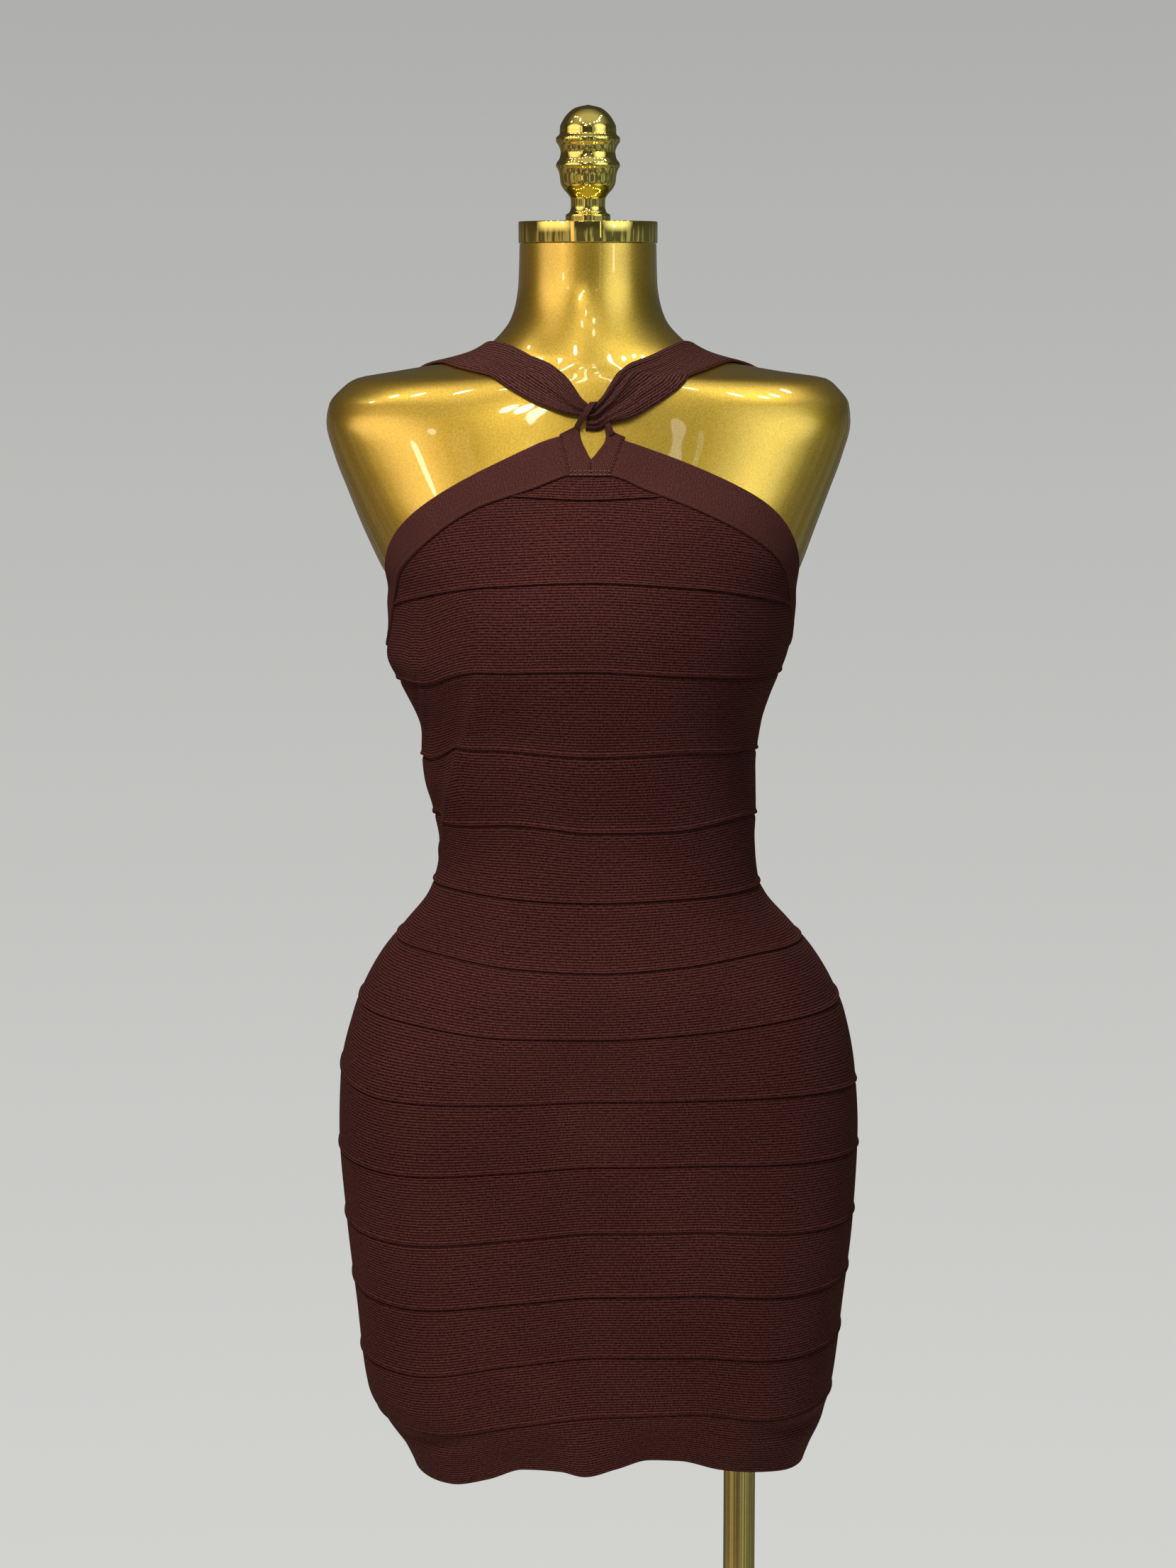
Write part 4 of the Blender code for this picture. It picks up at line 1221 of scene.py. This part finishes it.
def make_stitches():
    """Stitching down both sides of the tab and twice along its lower edge."""
    # The side stitches are real, but their near-black colour is painted shade of the stitch holes
    # along the tab's sides.
    dark = make_thread("stitch_hole_shade_thread", (0.012, 0.003, 0.003), (0.045, 0.016, 0.014))
    light = make_thread("maroon_thread", (0.16, 0.062, 0.055), (0.36, 0.17, 0.15))
    proud = BAND_WALL + 0.08
    side_lines = []
    for side, top, step in SIDE_STITCHES:
        rows = np.linspace(SIDE_STITCHES_BOTTOM, top, 30)
        x = tab_edge(side, rows) - side * step
        side_lines.append(front_points(x, rows, np.full(rows.shape, proud)))
    low_lines = []
    for above, first, last in LOWER_STITCHES:
        x = np.linspace(first, last, 24)
        low_lines.append(front_points(x, np.full(x.shape, KEYHOLE[0][0] + above),
                                      np.full(x.shape, proud + 0.1)))
    for name, lines, thread, sizes in (
            ("tab_side_stitches", side_lines, dark, (0.0020, 0.0011, 0.00042)),
            ("tab_edge_stitches", low_lines, light, (0.0026, 0.0024, 0.00050))):
        labelled = dict(zip(("Pitch", "Stitch length", "Thread radius"), sizes))
        piece = add_stitches(name, lines, stitch_tree(thread), labelled, thread)
        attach(piece, "root")


# ---- studio ----------------------------------------------------------------------------
def aim(thing, target):
    """Turn a lamp or a camera towards a point."""
    way = Vector(target) - thing.location
    thing.rotation_euler = way.to_track_quat("-Z", "Y").to_euler()


def add_lamp(name, place, target, size, power, colour, size_y, seen_by):
    """An area lamp, seen by "all", only by "dull" cloth or only by "shiny" metal."""
    data = bpy.data.lights.new(name, "AREA")
    data.energy = power
    data.color = colour
    data.size = size
    if size_y:
        data.shape = "RECTANGLE"
        data.size_y = size_y
    else:
        data.shape = "DISK"
    lamp = bpy.data.objects.new(name, data)
    lamp.location = place
    lamp.visible_glossy = seen_by != "dull"
    lamp.visible_diffuse = seen_by != "shiny"
    aim(lamp, target)
    bpy.context.scene.collection.objects.link(lamp)


# Lamps: name, place, the point they face, width, power, colour, height of an oblong one, and
# what they light. Places and widths are in metres.
LAMPS = [
    ("key", (-0.75, -1.9, 3.2), (0, 0, 1.0), 0.7, 41, (1.0, 0.96, 0.92), None, "dull"),
    ("low", (-0.35, -2.6, 1.0), (0, 0, 0.8), 1.0, 2.6, (1.0, 0.97, 0.95), None, "dull"),
    ("top", (0.0, -0.4, 3.2), (0, 0, 1.2), 1.6, 2, (1.0, 0.98, 0.94), 1.2, "dull"),
    ("rear", (0.3, 2.7, 2.3), (0, 0, 1.0), 1.2, 26, (1.0, 0.97, 0.94), None, "dull"),
    ("left_strip", (-0.95, -2.0, 1.7), (0, 0, 1.45), 0.22, 0.9, (1.0, 0.72, 0.42), 1.3, "all"),
    ("right_strip", (0.75, -2.0, 1.8), (0, 0, 1.45), 0.06, 0.3, (1.0, 0.98, 0.90), 1.1, "all"),
]
# Small ceiling lights that only metal sees: place in metres, then power.
CEILING_SPOTS = [
    (-1.38, 0.10, 2.81, 0.8), (-1.10, 0.12, 3.02, 0.9), (-0.97, -0.16, 3.08, 0.9),
    (-0.43, -1.62, 2.43, 0.6), (-0.33, -1.67, 2.37, 0.7), (-0.24, -1.73, 2.29, 0.5),
    (-1.05, -1.52, 2.13, 0.2), (-1.32, -1.45, 1.86, 0.3),
    (1.05, -0.38, 3.00, 0.9), (1.09, -0.11, 3.03, 0.9), (1.08, 0.31, 3.01, 0.8),
    (-0.76, -0.64, 3.07, 0.8), (-0.53, -1.02, 2.97, 0.7), (-0.27, -1.36, 2.78, 0.4),
    (0.25, -1.40, 2.76, 0.4), (0.64, -0.88, 3.01, 0.7), (0.88, -0.63, 3.01, 0.8),
    (-0.10, -1.50, 2.66, 0.3), (0.22, -1.25, 2.87, 0.3), (0.46, -1.71, 2.24, 0.1),
    (1.33, -1.39, 1.74, 0.2),
]


# Bright soft patches of the room: their direction, the reach of the patch round it as a
# cosine, and how sharp its edge is.
SIDE_PATCHES = [((-0.86, -0.50, 0.14), 0.82, 8.0), ((0.75, -0.59, 0.29), 0.87, 10.0)]
FRONT_PATCH = ((0.0, -0.88, 0.48), 0.94, 18.0)
WARM_SIDE = (1.0, 0.86, 0.66)    # colour of the room at the left
COOL_SIDE = (0.93, 1.0, 0.84)    # and at the right
BACKDROP = (0.565, 0.57, 0.55)
FLOOR_SIDES = 96
FLOOR_RADIUS = 1.35


def make_room():
    """Light from all round: bright above, a pale wall behind, and a dim uneven room in front."""
    world = bpy.data.worlds.new("studio")
    bpy.context.scene.world = world
    world.use_nodes = True
    tree = world.node_tree
    tree.nodes.clear()

    def node(kind, sockets):
        return add_node(tree, kind, None, sockets)

    source = tree.nodes.new("ShaderNodeTexCoord")
    way = node("ShaderNodeSeparateXYZ", {0: source.outputs["Generated"]})
    x, y, z = (Value(tree, way.outputs[k]) for k in range(3))
    # upright light and dark places in the room, as seen in polished metal
    upright = node("ShaderNodeCombineXYZ", {"X": x * 5.0, "Y": y * 5.0, "Z": z * 0.5})
    uneven = node("ShaderNodeTexNoise", {"Vector": upright.outputs[0], "Scale": 1.6,
                                         "Detail": 2.0, "Roughness": 0.6})
    streaks = (Value(tree, uneven.outputs["Fac"]) * 11.0 - 5.4).limited()
    above = (z * 2.4 - 1.1).limited()
    low = 1 - (z * 8.0).limited()

    def patch(towards, reach, sharp):
        """A bright soft patch of the room round one direction."""
        return ((x * towards[0] + y * towards[1] + z * towards[2] - reach) * sharp).limited()

    beside = patch(*SIDE_PATCHES[0]) + patch(*SIDE_PATCHES[1])
    in_front = patch(*FRONT_PATCH)
    ahead = (0.75 - y * 1.5).limited()
    shiny = (0.06 + low * (0.34 * streaks + 0.05) * (0.35 + 0.65 * ahead) + 0.55 * above * ahead
             + (1 - low) * (1.55 * beside + 0.10 * in_front))
    dull = 0.01 + 0.11 * above
    seen = tree.nodes.new("ShaderNodeLightPath")
    matt = Value(tree, seen.outputs["Is Diffuse Ray"])
    strength = shiny * (1 - matt) + dull * matt
    tone = add_node(tree, "ShaderNodeMix", {"data_type": "RGBA"}, {
        0: (x * 0.8 + 0.5).limited(), 6: (*WARM_SIDE, 1), 7: (*COOL_SIDE, 1)})
    studio = node("ShaderNodeBackground", {"Color": tone.outputs[2], "Strength": strength})
    pale = 0.83 - 0.90 * z
    pale = pale.work_out("MINIMUM", pale.work_out("MAXIMUM", pale, 0.75), 1.15)
    plain = node("ShaderNodeBackground", {"Color": (*BACKDROP, 1), "Strength": pale})
    mix = node("ShaderNodeMixShader", {0: seen.outputs["Is Camera Ray"],
                                       1: studio.outputs[0], 2: plain.outputs[0]})
    node("ShaderNodeOutputWorld", {0: mix.outputs[0]})


def make_studio():
    """Floor, lamps and camera."""
    bpy.context.scene.view_settings.view_transform = "Standard"
    make_room()
    turns = np.arange(FLOOR_SIDES) * math.tau / FLOOR_SIDES
    ring = np.stack([FLOOR_RADIUS * np.cos(turns), FLOOR_RADIUS * np.sin(turns),
                     np.full(FLOOR_SIDES, -0.001)], -1)
    mesh = bpy.data.meshes.new("floor")
    mesh.from_pydata(ring.tolist(), [], [list(range(FLOOR_SIDES))])
    stone = Finish("pale_floor", (0.80, 0.80, 0.78), 0.6, Specular_IOR_Level=0.3)
    stone.feed("Base Color", stone.blend(stone.noise(stone.coordinates("Object"), 3.0),
                                         (0.78, 0.78, 0.76), (0.83, 0.83, 0.81)))
    new_object("floor", mesh, stone.material)

    for lamp in LAMPS:
        add_lamp(*lamp)
    for k, (x, y, z, power) in enumerate(CEILING_SPOTS):
        add_lamp(f"spot_{k + 1}", (x, y, z), (x * 0.06, -0.06, 1.38), 0.11, power,
                 (1.0, 0.97, 0.90), None, "shiny")

    data = bpy.data.cameras.new("camera")
    data.sensor_width = 36
    data.lens = 80.07
    camera = bpy.data.objects.new("camera", data)
    camera.location = (0, -2.35, 1.46)
    camera.rotation_euler = (math.radians(90 - 8.1), 0, 0)
    bpy.context.scene.collection.objects.link(camera)
    bpy.context.scene.camera = camera


make_studio()
dress_form = make_form()
settle(dress_form, "gold_paint", "form_torso")
make_stand()
make_strips()
make_bands()
make_keyhole_tab(make_loop())
make_straps(dress_form)
make_stitches()
